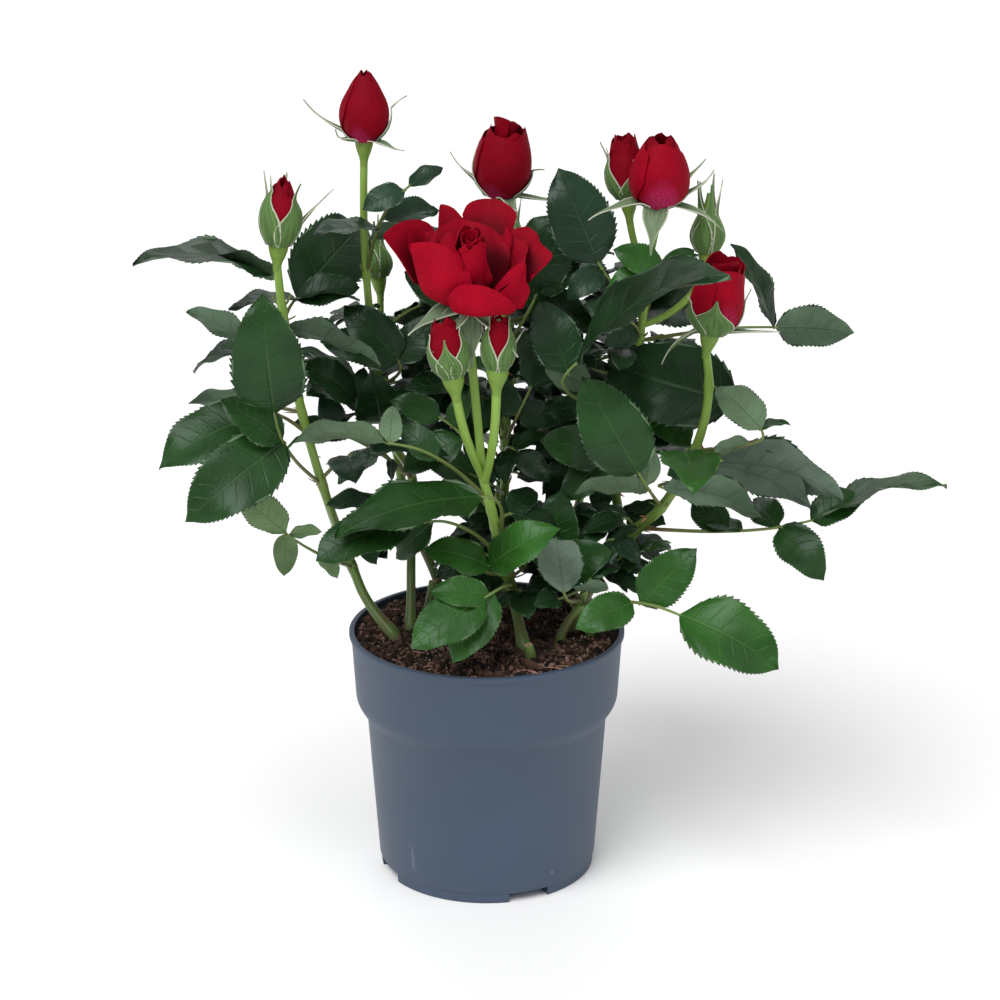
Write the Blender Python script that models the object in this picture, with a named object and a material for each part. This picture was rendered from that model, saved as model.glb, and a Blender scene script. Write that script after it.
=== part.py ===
"""Potted miniature rose bush: pot, soil, canes, cut stubs and leafy flowering shoots.

Blender is in metres with Z up. The plant's own sizes are in millimetres and pass through mm().
The pot stands on Z = 0, its axis is the Z axis, and -Y is the plant's front.
"""

import math
import random
from collections import namedtuple

import bpy
from mathutils import Vector
from mathutils.bvhtree import BVHTree

MM = 0.001
GAP = 0.3
SEED = 105

# Pot, millimetres
RIM_RADIUS = 52.5
RIM_HEIGHT = 96.0
LIP_HEIGHT = 1.8
LIP_TAPER = 1.2
ROUNDING = 0.4
WALL = 1.2
COLLAR_TOP_RADIUS = 51.6
COLLAR_FOOT_RADIUS = 50.1
COLLAR_FOOT_HEIGHT = 69.5
SHOULDER_RADIUS = 46.0
SHOULDER_HEIGHT = 62.0
# The step out from the shoulder to the collar, as shares of its reach and its height
SHOULDER_CURVE = ((0.30, 0.18), (0.80, 0.52))
BODY_FOOT_RADIUS = 42.0
LEDGE_HEIGHT = 4.4
FOOT_RADIUS = 41.3
FOOT_DRAFT = 0.2
BASE_THICKNESS = 1.6
RAIL_HEIGHT = 5.4
RAIL_RADIUS = 33.0
NOTCH_COUNT = 4
NOTCH_WIDTH = 16.0
NOTCH_HEIGHT = 3.6
NOTCH_TURN = -67.0
DRAIN_COUNT = 6
DRAIN_RADIUS = 3.2
DRAIN_CIRCLE = 22.0
DRAIN_SIDES = 8
CUT_SPARE = 2.0
POT_SEGMENTS = 40
POT_SMOOTH_ANGLE = 30

# Soil, millimetres
SOIL_EDGE_HEIGHT = 94.3
SOIL_FLAT_RADIUS = 46.0
SOIL_TOP = 96.0
SOIL_RISE = 0.2
SOIL_SEGMENTS = 32

# Canes: where they leave the soil, where they end, their thickness
CANE_FLARE = 1.35
CANE_FLARE_HEIGHT = 7.0
CANE_SIDES = 7
CANE_RINGS = 5
CANE_SMOOTH_ANGLE = 50

Cane = namedtuple("Cane", "foot tip bow radii")

CANES = {
    "cane_left": Cane((-34.5, -10), (-50, 4, 116), (-2, 0, 0), (2.0, 1.8)),
    "cane_tall_left": Cane((-29, -2), (-29, 20, 131), (0, 0, 0), (1.9, 1.6)),
    "cane_centre": Cane((14, -23), (10.5, -12, 110), (0, 0, 0), (2.2, 2.0)),
    "cane_right": Cane((33, -3), (46.5, -1, 123), (-1, 0, 2), (2.2, 2.0)),
    "cane_low_right": Cane((27, -15), (33, -14, 107), (0, 0, 1), (1.6, 1.4)),
    "cane_right_back": Cane((36, 18), (44, 24, 114), (0, 0, 1), (1.9, 1.7)),
    "cane_centre_back": Cane((8, 18), (7, 26, 113), (0, 0, 0), (1.9, 1.7)),
    "cane_back_left": Cane((-17, 29), (-27, 38, 118), (0, 0, 2), (1.9, 1.7)),
    "cane_back": Cane((3, 35), (4, 45, 121), (0, 0, 2), (1.9, 1.7)),
    "cane_back_right": Cane((21, 31), (30, 41, 118), (0, 0, 2), (1.9, 1.7)),
    "stub_left": Cane((-23, 13), (-21, 15, 109), (0, 0, 0), (1.6, 1.5)),
    "stub_middle": Cane((16.5, -31), (15.5, -31.5, 101), (0, 0, 0), (1.7, 1.5)),
    "stub_right": Cane((39, -8), (42, -9, 104), (0, 0, 0), (1.6, 1.5)),
}

# Shoots: each goes on from a cane's tip, and its end is its first flower's foot.
# A flower's lean is how far its axis tips along X and Y for each unit that it rises.
Flower = namedtuple("Flower", "kind station foot bow lean height width spread")
Leaf = namedtuple("Leaf", "station stalk blade sides face")
Shoot = namedtuple("Shoot", "cane end bow radii flowers leaves rule_leaves turn")

# A leaf's stalk and its end leaflet are each (yaw, lift, length) in degrees and millimetres.
# Its face is how far the upper side tips from straight up towards the front, in degrees.
# Its side leaflets are a count of pairs, or each is (station on the stalk, yaw, lift, length, face).
SHOOTS = {
    "shoot_left": Shoot(
        "cane_left", (-74, -24, 242.5), (-4.5, 0, 0), (1.8, 1.5),
        [Flower("bud", 1.0, None, None, (0.10, 0.0), 24, 15.5, 14)],
        [
            Leaf(0.02, (-130, 33, 43), (-160, 43, 25),
                 ((0.97, -101, -74, 16, -85), (0.93, 23, 2, 13, -60), (0.45, 11, -56, 12, -60)), -75),
            Leaf(0.30, (-118, 49, 48), (-102, 77, 47),
                 ((0.62, -150, -30, 46, 63), (0.66, -167, 38, 27, 50), (0.6, 150, -60, 22, 50)), 80),
            Leaf(0.47, (-156, 26, 22), (-160, -22, 41), 0, 35),
            Leaf(0.54, (163, 4, 21), (-177, 5, 23), 0, -50),
            Leaf(0.59, (-174, 51, 25), (175, 31, 28),
                 ((0.95, -148, 12, 15, -50), (0.85, 159, -17, 30, 10)), -42),
            Leaf(0.74, (99, 77, 8), (-14, -15, 38), 0, -38),
            Leaf(0.83, (80, 12, 20), (56, 27, 47),
                 ((0.92, 2, 12, 24, 40), (0.85, 0, 3, 24, -8), (0.9, -174, -4, 25, 4)), 75),
            Leaf(0.87, (126, 54, 13), (-166, 11, 50), ((0.7, -167, 25, 27, -35),), 6),
        ],
        2, 340),
    "shoot_tall_left": Shoot(
        "cane_tall_left", (-44, 2, 275), (-5.5, 0, 0), (1.6, 1.4),
        [Flower("bud", 1.0, None, None, (0.03, 0.0), 27.5, 17.5, 50)],
        [
            Leaf(0.12, (-136, 34, 49), (-162, 21, 15),
                 ((0.97, 12, 37, 12, 5), (0.93, 147, 69, 17, 35), (0.42, -153, -28, 20, -60),
                  (0.3, 56, -74, 10, 20)), 35),
            Leaf(0.25, (-123, 43, 29), (-158, 38, 28),
                 ((0.95, 56, 70, 13, 60), (0.3, -98, 56, 29, 60), (0.3, -14, 29, 28, 60)), 40),
            Leaf(0.06, (-109, 15, 32), (-163, 7, 22), 0, 12),
            Leaf(0.39, (-54, 47, 18), (177, 47, 29), ((0.95, -177, 17, 30, 45), (0.9, 18, 50, 23, 55)), 60),
            Leaf(0.70, (-34, 60, 41), (10, 29, 14),
                 ((0.9, -166, -20, 17, 50), (0.4, -155, 1, 27, 8), (0.5, 25, 6, 23, 38)), 30),
        ],
        3, 260),
    "shoot_centre": Shoot(
        "cane_centre", (-1.5, -25, 166), (0, 0, 0), (2.0, 1.7),
        [
            Flower("bloom", 0.985, (-6.3, -30, 222), (0, 3, 0), (0.03, -0.34), 37, 60, 78),
            Flower("bud", 0.955, (-10.5, -41, 199), (-1, -3, 0), (-0.16, 0.0), 23, 15, 16),
            Flower("bud", 0.925, (3.8, -40, 201), (1, -4, 0), (0.04, 0.0), 21, 12.5, 16),
        ],
        [
            Leaf(0.10, (-106, 14, 38), (-152, -24, 33),
                 ((0.9, -168, 8, 22, 50), (0.8, -136, -46, 30, 55)), 50),
            Leaf(0.22, (-111, 27, 20), (-18, 35, 32),
                 ((0.97, -170, 21, 26, 36), (0.85, -17, -26, 20, 45)), 42),
            Leaf(0.45, (-110, 50, 33), (-159, -6, 56), 0, 13),
            Leaf(0.34, (-139, 29, 48), (-161, -12, 39), ((0.8, 163, -45, 22, 40),), 22),
            Leaf(0.79, (-149, 34, 51), (-170, 5, 36),
                 ((0.97, 78, 66, 14, -70), (0.5, 154, 37, 19, 50)), -33),
            Leaf(0.72, (147, 54, 39), (-170, 24, 20),
                 ((0.8, 40, 56, 14, 60), (0.6, -175, -26, 26, 45)), 50),
        ],
        2, 60),
    "shoot_right": Shoot(
        "cane_right", (79, -24, 210.5), (12.5, 0, 0), (2.0, 1.5),
        [Flower("bud", 1.0, None, None, (0.17, 0.0), 30, 19, 42)],
        [
            Leaf(0.14, (-11, 7, 69), (-3, 20, 48),
                 ((0.93, 9, 24, 23, 45), (0.7, 112, 14, 22, 60), (0.72, -51, -32, 27, 62),
                  (0.42, 128, 17, 22, 60), (0.5, 153, 2, 17, 15)), -6),
            Leaf(0.39, (-114, 8, 16), (-9, -11, 38), 0, -52),
            Leaf(0.27, (-116, 41, 31), (-163, 60, 43),
                 ((0.55, -177, 2, 28, -48), (0.68, -21, 83, 15, -72)), 80),
            Leaf(0.45, (11, 8, 7), (-13, -14, 54), ((0.9, -6, -24, 44, -55),), -44),
            Leaf(0.54, (-33, 26, 30), (-170, 45, 25),
                 ((0.95, 18, 7, 12, 3), (0.5, 175, -21, 16, -55)), -72),
            Leaf(0.47, (-56, 19, 22), (-170, -14, 19), 0, 50),
            Leaf(0.85, (53, -28, 23), (160, 10, 54), 0, 70),
        ],
        3, 60),
    "shoot_low_right": Shoot(
        "cane_low_right", (41, -12, 132), (1, 0, 0), (1.3, 1.0),
        [],
        [
            Leaf(0.14, (-39, 8, 46), (-19, -22, 41),
                 ((0.55, -7, 48, 30, 65), (0.47, -149, -11, 25, 55)), 44),
            Leaf(0.80, (179, -12, 18), (-22, 80, 33), ((0.75, -28, 29, 29, 55),), 70),
            Leaf(0.69, (-72, -17, 14), (-144, 20, 17), 0, -50),
            Leaf(0.20, (-113, 15, 21), (-105, 60, 30), 0, -70),
        ],
        2, 95),
    "shoot_right_back": Shoot(
        "cane_right_back", (59.5, 8, 236), (2, 0, 0), (1.7, 1.4),
        [
            Flower("bud", 0.985, (62, 2, 251.5), (0, 0, 0), (0.02, -0.08), 29, 21, 68),
            Flower("bud", 0.96, (52.5, 11, 252), (-1, 1, 0), (-0.08, 0.02), 23, 15.5, 30),
            Flower("green", 0.80, (81, 8, 233), (2, 0, -3), (0.0, 0.0), 26, 13, 6),
        ],
        [
            Leaf(0.50, (-112, 32, 67), (-25, 37, 67), ((0.8, 138, 62, 29, 60),), 18),
            Leaf(0.75, (-5, 7, 51), (-8, -1, 29), ((0.97, 157, 63, 35, -1),), -80),
            Leaf(0.87, (-155, 42, 26), (164, 66, 38), ((0.85, -149, -31, 18, 60),), 75),
            Leaf(0.91, (-64, 55, 15), (-173, 32, 20), ((0.8, 18, 39, 15, 70), (0.7, -163, -3, 23, 50)), 60),
            Leaf(0.32, (-110, 27, 27), (-156, 21, 27),
                 ((0.8, -154, -34, 24, 60), (0.6, 142, 46, 19, 60)), 60),
            Leaf(0.45, (-119, 37, 41), (-166, 35, 21), 0, -70),
            Leaf(0.76, (-119, 25, 17), (-158, 18, 18), 2, 60),
            Leaf(0.42, (-151, 36, 29), (-164, 48, 23), 2, 60),
        ],
        3, 80),
    "shoot_centre_back": Shoot(
        "cane_centre_back", (4.3, 21, 251), (1, 0, 0), (1.7, 1.4),
        [Flower("half", 1.0, None, None, (0.10, -0.03), 30, 20.5, 60)],
        [
            Leaf(0.50, (-141, 57, 46), (167, 33, 22),
                 ((0.8, -151, -28, 19, 60), (0.6, 154, 66, 27, 60)), 55),
            Leaf(0.62, (-48, 55, 35), (-25, 70, 28), ((0.9, -10, 37, 20, 60), (0.8, -123, 69, 19, 60)), 70),
            Leaf(0.87, (-45, 38, 14), (-8, 37, 19), 0, 38),
            Leaf(0.36, (-55, 44, 31), (37, 52, 28), 2, 60),
            Leaf(0.20, (-118, 30, 32), (-162, 29, 23), 2, 55),
            Leaf(0.27, (-78, 32, 28), (-41, -29, 18), 2, 60),
        ],
        4, 100),
    "shoot_back_left": Shoot(
        "cane_back_left", (-41, 48, 214), (-4, 3, 0), (1.7, 1.3),
        [Flower("green", 1.0, None, None, (-0.1, 0.15), 22, 12, 8)],
        [],
        8, 100),
    "shoot_back": Shoot(
        "cane_back", (9, 58, 221), (2, 3, 0), (1.7, 1.3),
        [Flower("green", 1.0, None, None, (0.0, 0.15), 22, 12, 8)],
        [],
        8, 30),
    "shoot_back_right": Shoot(
        "cane_back_right", (50, 48, 206), (4, 3, 0), (1.7, 1.3),
        [],
        [],
        8, 70),
}

# Stems and stalks
STEM_SIDES = 5
STEM_RINGS = 9
BRANCH_RINGS = 5
STEM_GAP = GAP + 0.05
MASS_SMOOTH_ANGLE = 40

# Leaf habit
LEAFLET_WIDTH = 0.58
LEAFLET_THICKNESS = 0.018
LEAFLET_MIN_THICKNESS = 0.5
LEAFLET_FOLD = math.radians(16)
LEAFLET_CURL = math.radians(34)
LEAFLET_OUTLINE = ((0.24, 0.88), (0.64, 0.92))
PAIR_STATIONS = {0: (), 1: (0.72,), 2: (0.80, 0.46)}
PAIR_SCALE = 0.80
PAIR_FALL = 0.86
PAIR_ANGLE = math.radians(62)
PAIR_DROOP = 0.10
STALK_RADII = (0.9, 0.8, 0.7, 0.6)
STALK_SIDES = 3
# How far the stalk's bend stands back from the end leaflet, as a share of the stalk's reach
STALK_BEND = 0.35
END_SINK = 0.8
PAIR_SINK = 0.3
CLEARANCE = 0.7
# The seeded leaves: a turn from each to the next, and the range of each measure
LEAF_TURN = 137.5
TURN_SPREAD = 14
STATION_RANGE = (0.12, 0.92)
STALK_REACH = (16, 26)
STALK_LIFT = (14, 38)
BLADE_SIZE = (31, 42)
BLADE_LIFT = (-22, 18)
BLADE_TURN = 18
BLADE_TAPER = 0.25
BLADE_FACE = 38
FACE_SPREAD = 16
BACK_VIGOUR = 1.18
CROWN_CENTRE = (6, 4, 180)
CROWN_REACH = (94, 114, 86)
NUDGES = ((0, 0), (0, 12), (0, -12), (9, 0), (-9, 0), (12, 12), (-12, 12), (0, 26), (20, 0), (-20, 0),
          (0, 38), (32, 10), (-32, 10), (46, 0), (-46, 0))

# Flower habit
HIP_RADIUS = 3.7
HIP_HEIGHT = 8.0
HIP_SINK = 1.5
# The hip's lower outline, as shares of its height and radius
HIP_OUTLINE = ((0.35, 0.80), (0.72, 1.0))
BUD_SIDES = 8
BLOOM_SIDES = 10
SEPAL_COUNT = 5
SEPAL_LENGTH = 26.0
SEPAL_WIDTH = 5.6
SEPAL_FOLD = math.radians(6)
SEPAL_CURL = math.radians(14)
CLOSED_SEPAL_CURL = math.radians(46)
CLOSED_SPREAD = 25
CLOSED_FLARE = 0.22
SEPAL_TURN = 0.3
SEPAL_SEAT = 0.6
SEPAL_SINK = 0.8
OPENING_SWING = 12
OPENING_STEP = 2.3
# Outlines above the hip, as shares of a flower's height and half its width
BUD_OUTLINE = ((0, 0.42), (0.20, 0.90), (0.48, 1.0), (0.78, 0.66), (0.98, 0.16), (1.0, 0))
BLOOM_OUTLINE = ((0, 0.18), (0.20, 0.50), (0.42, 0.84), (0.70, 1.0), (0.76, 0.97), (0.68, 0.62),
                 (0.90, 0.52), (0.98, 0.26), (1.0, 0))
BLOOM_PETALS = 5
BLOOM_LOBE_START = 0.7
LOBE_DEPTH = 0.07


def mm(point):
    return Vector(point) * MM


def heading(yaw, lift):
    """Unit vector from a yaw round Z and a lift above level, in degrees."""
    yaw = math.radians(yaw)
    lift = math.radians(lift)
    return Vector((math.cos(lift) * math.cos(yaw), math.cos(lift) * math.sin(yaw), math.sin(lift)))


def square_to(vector, along):
    """The part of a vector that is square to another, as a unit vector."""
    return (vector - along * vector.dot(along)).normalized()


def bowed(start, end, bow, count):
    """Points from start to end that swing out by bow half way."""
    points = []
    for i in range(count):
        t = i / (count - 1)
        points.append(start.lerp(end, t) + bow * (4 * t * (1 - t)))
    return points


def tangents(points):
    last = len(points) - 1
    found = []
    for i in range(len(points)):
        found.append((points[min(i + 1, last)] - points[max(i - 1, 0)]).normalized())
    return found


def limb_shape(points, radii, sides, flat_foot=False):
    """A round limb through the points, as vertices and faces, closed at both ends."""
    verts = []
    faces = []
    axis = tangents(points)
    side = square_to(Vector((0.31, 0.95, 0.05)), axis[0])
    for i, point in enumerate(points):
        along = Vector((0, 0, 1)) if flat_foot and i == 0 else axis[i]
        side = square_to(side, along)
        other = along.cross(side)
        for k in range(sides):
            turn = 2 * math.pi * k / sides
            verts.append(point + (side * math.cos(turn) + other * math.sin(turn)) * radii[i])
    for i in range(len(points) - 1):
        for k in range(sides):
            a = i * sides + k
            b = i * sides + (k + 1) % sides
            faces.append((a, b, b + sides, a + sides))
    faces.append(tuple(range(sides))[::-1])
    faces.append(tuple(range((len(points) - 1) * sides, len(points) * sides)))
    return verts, faces


def lathe_shape(foot, axis, profile, sides, lobes=0, lobe_start=math.inf):
    """A closed turned solid from (height, radius) pairs, whose ends are points.

    Rings wider than lobe_start wave in and out, as petals do round an open bloom.
    """
    side = square_to(Vector((1, 0.2, 0)), axis)
    other = axis.cross(side)
    verts = [foot + axis * profile[0][0]]
    for height, radius in profile[1:-1]:
        wave = LOBE_DEPTH if radius > lobe_start else 0.0
        for k in range(sides):
            turn = 2 * math.pi * k / sides
            reach = radius * (1 - wave + wave * math.cos(lobes * turn))
            verts.append(foot + axis * height + (side * math.cos(turn) + other * math.sin(turn)) * reach)
    verts.append(foot + axis * profile[-1][0])
    top = len(verts) - 1
    rings = len(profile) - 2
    faces = []
    for k in range(sides):
        after = (k + 1) % sides
        faces.append((0, 1 + after, 1 + k))
        for i in range(rings - 1):
            a = 1 + i * sides
            faces.append((a + k, a + after, a + sides + after, a + sides + k))
        last = 1 + (rings - 1) * sides
        faces.append((last + k, last + after, top))
    return verts, faces


def blade_shape(base, along, up, length, width, fold, curl, spare=0.0):
    """A folded, drooping leaf blade, thick along its midrib and thin at its edge."""
    thickness = max(LEAFLET_MIN_THICKNESS, LEAFLET_THICKNESS * length) + spare
    side = along.cross(up)
    reach = length + spare
    arch = reach * 0.5 * math.sin(curl / 4)
    verts = [base, base + along * reach]
    for s, share in LEAFLET_OUTLINE:
        bend = curl * (0.5 - s)
        normal = up * math.cos(bend) - along * math.sin(bend)
        middle = base + along * (s * reach) + up * (arch * math.sin(math.pi * s))
        half = width / 2 * share + spare
        raised = normal * (half * math.tan(fold))
        verts += [middle + normal * thickness / 2, middle + side * half + raised,
                  middle - normal * thickness / 2, middle - side * half + raised]
    faces = []
    last = len(verts) - 4
    for k in range(4):
        after = (k + 1) % 4
        faces.append((0, 2 + after, 2 + k))
        for first in range(2, last, 4):
            faces.append((first + k, first + after, first + 4 + after))
            faces.append((first + k, first + 4 + after, first + 4 + k))
        faces.append((last + k, last + after, 1))
    return verts, faces


def new_material(name, colour, roughness, metallic=0.0):
    material = bpy.data.materials.new(name)
    material.use_nodes = True
    shader = material.node_tree.nodes["Principled BSDF"]
    shader.inputs["Base Color"].default_value = (*colour, 1.0)
    shader.inputs["Roughness"].default_value = roughness
    shader.inputs["Metallic"].default_value = metallic
    return material


def new_object(name, shape, material, collection=None):
    """A mesh object from vertices in millimetres, with its faces turned outwards."""
    verts, faces = shape
    mesh = bpy.data.meshes.new(name)
    mesh.from_pydata([mm(v) for v in verts], [], faces)
    mesh.validate()
    mesh.materials.append(material)
    piece = bpy.data.objects.new(name, mesh)
    (collection or bpy.context.scene.collection).objects.link(piece)
    if signed_volume(mesh) < 0:
        mesh.flip_normals()
    return piece


def signed_volume(mesh):
    total = 0.0
    for polygon in mesh.polygons:
        corners = [mesh.vertices[v].co for v in polygon.vertices]
        for i in range(1, len(corners) - 1):
            total += corners[0].dot(corners[i].cross(corners[i + 1]))
    return total / 6


def smooth(piece, angle):
    piece.data.shade_smooth()
    piece.data.set_sharp_from_angle(angle=math.radians(angle))


def turned_object(name, profile, material, segments):
    """A turned solid from a closed outline of (radius, height) pairs, in millimetres."""
    verts = []
    faces = []
    rings = []
    for radius, height in profile:
        if radius == 0:
            rings.append([len(verts)])
            verts.append(Vector((0, 0, height)))
            continue
        ring = []
        for k in range(segments):
            turn = 2 * math.pi * k / segments
            ring.append(len(verts))
            verts.append(Vector((radius * math.cos(turn), radius * math.sin(turn), height)))
        rings.append(ring)
    closed = profile[0][0] != 0
    pairs = list(zip(rings, rings[1:] + rings[:1])) if closed else list(zip(rings, rings[1:]))
    for low, high in pairs:
        for k in range(segments):
            after = (k + 1) % segments
            corners = [low[k % len(low)], low[after % len(low)], high[after % len(high)], high[k % len(high)]]
            face = []
            for corner in corners:
                if corner not in face:
                    face.append(corner)
            faces.append(tuple(face))
    return new_object(name, (verts, faces), material)


def inner_radius(height):
    """The pot's inside radius at a height, in millimetres."""
    body_rise = (height - LEDGE_HEIGHT) / (SHOULDER_HEIGHT - LEDGE_HEIGHT)
    if height <= SHOULDER_HEIGHT:
        return BODY_FOOT_RADIUS + (SHOULDER_RADIUS - BODY_FOOT_RADIUS) * body_rise - WALL
    collar_rise = (height - COLLAR_FOOT_HEIGHT) / (RIM_HEIGHT - COLLAR_FOOT_HEIGHT)
    return COLLAR_FOOT_RADIUS + (COLLAR_TOP_RADIUS - COLLAR_FOOT_RADIUS) * collar_rise - WALL


def cutter_object(name, shape, material):
    cutter = new_object(name, shape, material)
    cutter.hide_render = True
    cutter.display_type = "WIRE"
    return cutter


def cut(piece, cutter):
    modifier = piece.modifiers.new("cut_" + cutter.name, "BOOLEAN")
    modifier.operation = "DIFFERENCE"
    modifier.solver = "EXACT"
    modifier.object = cutter


def box_shape(centre, size, turn):
    """A box turned about Z, in millimetres."""
    cos_turn = math.cos(math.radians(turn))
    sin_turn = math.sin(math.radians(turn))
    verts = []
    for dz in (-0.5, 0.5):
        for dx, dy in ((-0.5, -0.5), (0.5, -0.5), (0.5, 0.5), (-0.5, 0.5)):
            x = centre[0] + dx * size[0]
            y = centre[1] + dy * size[1]
            z = centre[2] + dz * size[2]
            verts.append(Vector((x * cos_turn - y * sin_turn, x * sin_turn + y * cos_turn, z)))
    faces = [(3, 2, 1, 0), (4, 5, 6, 7), (0, 1, 5, 4), (1, 2, 6, 5), (2, 3, 7, 6), (3, 0, 4, 7)]
    return verts, faces


def build_pot():
    plastic = new_material("pot_plastic", (0.075, 0.105, 0.150), 0.55)
    profile = [
        (0, 0), (FOOT_RADIUS, 0),
        (FOOT_RADIUS + FOOT_DRAFT, LEDGE_HEIGHT - ROUNDING), (BODY_FOOT_RADIUS, LEDGE_HEIGHT + ROUNDING),
        (SHOULDER_RADIUS, SHOULDER_HEIGHT),
    ]
    for out, up in SHOULDER_CURVE:
        profile.append((SHOULDER_RADIUS + out * (COLLAR_FOOT_RADIUS - SHOULDER_RADIUS),
                        SHOULDER_HEIGHT + up * (COLLAR_FOOT_HEIGHT - SHOULDER_HEIGHT)))
    profile += [
        (COLLAR_FOOT_RADIUS, COLLAR_FOOT_HEIGHT),
        (COLLAR_TOP_RADIUS, RIM_HEIGHT - LIP_HEIGHT - LIP_TAPER),
        (RIM_RADIUS, RIM_HEIGHT - LIP_HEIGHT), (RIM_RADIUS, RIM_HEIGHT - ROUNDING),
        (RIM_RADIUS - ROUNDING, RIM_HEIGHT), (COLLAR_TOP_RADIUS - WALL, RIM_HEIGHT),
        (inner_radius(COLLAR_FOOT_HEIGHT), COLLAR_FOOT_HEIGHT),
        (inner_radius(SHOULDER_HEIGHT), SHOULDER_HEIGHT),
        (inner_radius(RAIL_HEIGHT), RAIL_HEIGHT), (RAIL_RADIUS, RAIL_HEIGHT),
        (RAIL_RADIUS, BASE_THICKNESS), (0, BASE_THICKNESS),
    ]
    pot = turned_object("pot", profile, plastic, POT_SEGMENTS)
    for i in range(NOTCH_COUNT):
        turn = NOTCH_TURN + i * 360 / NOTCH_COUNT
        reach = BODY_FOOT_RADIUS - RAIL_RADIUS + CUT_SPARE
        centre = (RAIL_RADIUS + CUT_SPARE + reach / 2, 0, (NOTCH_HEIGHT - CUT_SPARE) / 2)
        shape = box_shape(centre, (reach, NOTCH_WIDTH, NOTCH_HEIGHT + CUT_SPARE), turn)
        cut(pot, cutter_object(f"notch_cutter_{i + 1}", shape, plastic))
    for i in range(DRAIN_COUNT):
        turn = 2 * math.pi * (i + 0.5) / DRAIN_COUNT
        centre = Vector((DRAIN_CIRCLE * math.cos(turn), DRAIN_CIRCLE * math.sin(turn), 0))
        ends = [centre - Vector((0, 0, CUT_SPARE)), centre + Vector((0, 0, BASE_THICKNESS + CUT_SPARE))]
        shape = limb_shape(ends, (DRAIN_RADIUS, DRAIN_RADIUS), DRAIN_SIDES)
        cut(pot, cutter_object(f"drain_cutter_{i + 1}", shape, plastic))
    smooth(pot, POT_SMOOTH_ANGLE)


def build_soil():
    peat = new_material("peat_soil", (0.045, 0.028, 0.020), 0.95)
    profile = [
        (0, BASE_THICKNESS + GAP), (RAIL_RADIUS - GAP, BASE_THICKNESS + GAP),
        (RAIL_RADIUS - GAP, RAIL_HEIGHT + GAP), (inner_radius(RAIL_HEIGHT) - GAP, RAIL_HEIGHT + GAP),
        (inner_radius(SHOULDER_HEIGHT) - GAP, SHOULDER_HEIGHT + SOIL_RISE),
        (inner_radius(COLLAR_FOOT_HEIGHT) - GAP, COLLAR_FOOT_HEIGHT + SOIL_RISE),
        (inner_radius(SOIL_EDGE_HEIGHT) - GAP, SOIL_EDGE_HEIGHT),
        (SOIL_FLAT_RADIUS, SOIL_TOP), (0, SOIL_TOP),
    ]
    turned_object("soil", profile, peat, SOIL_SEGMENTS)


def cane_line(cane):
    """Points and radii of a cane, from its flat cut on the soil to its tip."""
    foot = Vector((*cane.foot, SOIL_TOP + GAP))
    points = bowed(foot, Vector(cane.tip), Vector(cane.bow), CANE_RINGS)
    radii = []
    for i, point in enumerate(points):
        radius = cane.radii[0] + (cane.radii[1] - cane.radii[0]) * i / (CANE_RINGS - 1)
        flare = max(0.0, 1 - (point.z - foot.z) / CANE_FLARE_HEIGHT)
        radii.append(radius * (1 + (CANE_FLARE - 1) * flare))
    return points, radii


def build_canes():
    bark = new_material("green_bark", (0.130, 0.230, 0.060), 0.50)
    shapes = {}
    for name, cane in CANES.items():
        points, radii = cane_line(cane)
        shapes[name] = limb_shape(points, radii, CANE_SIDES, flat_foot=True)
        smooth(new_object(name, shapes[name], bark), CANE_SMOOTH_ANGLE)
    return shapes


def shoot_line(shoot):
    """Points and radii of a shoot's stem, which starts a hair above its cane's tip."""
    cane_points, _ = cane_line(CANES[shoot.cane])
    onward = tangents(cane_points)[-1]
    start = cane_points[-1] + onward * STEM_GAP
    stem = bowed(start, Vector(shoot.end), Vector(shoot.bow), STEM_RINGS)
    # The first step follows the cane, so that the two flat ends lie face to face
    stem[1] = start + onward * (stem[1] - start).length
    first, last = shoot.radii
    radii = [first + (last - first) * i / (STEM_RINGS - 1) for i in range(STEM_RINGS)]
    return stem, radii


def along_line(points, station):
    """The place at a station from 0 to 1 along evenly stepped points."""
    place = station * (len(points) - 1)
    i = min(int(place), len(points) - 2)
    return points[i].lerp(points[i + 1], place - i)


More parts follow.
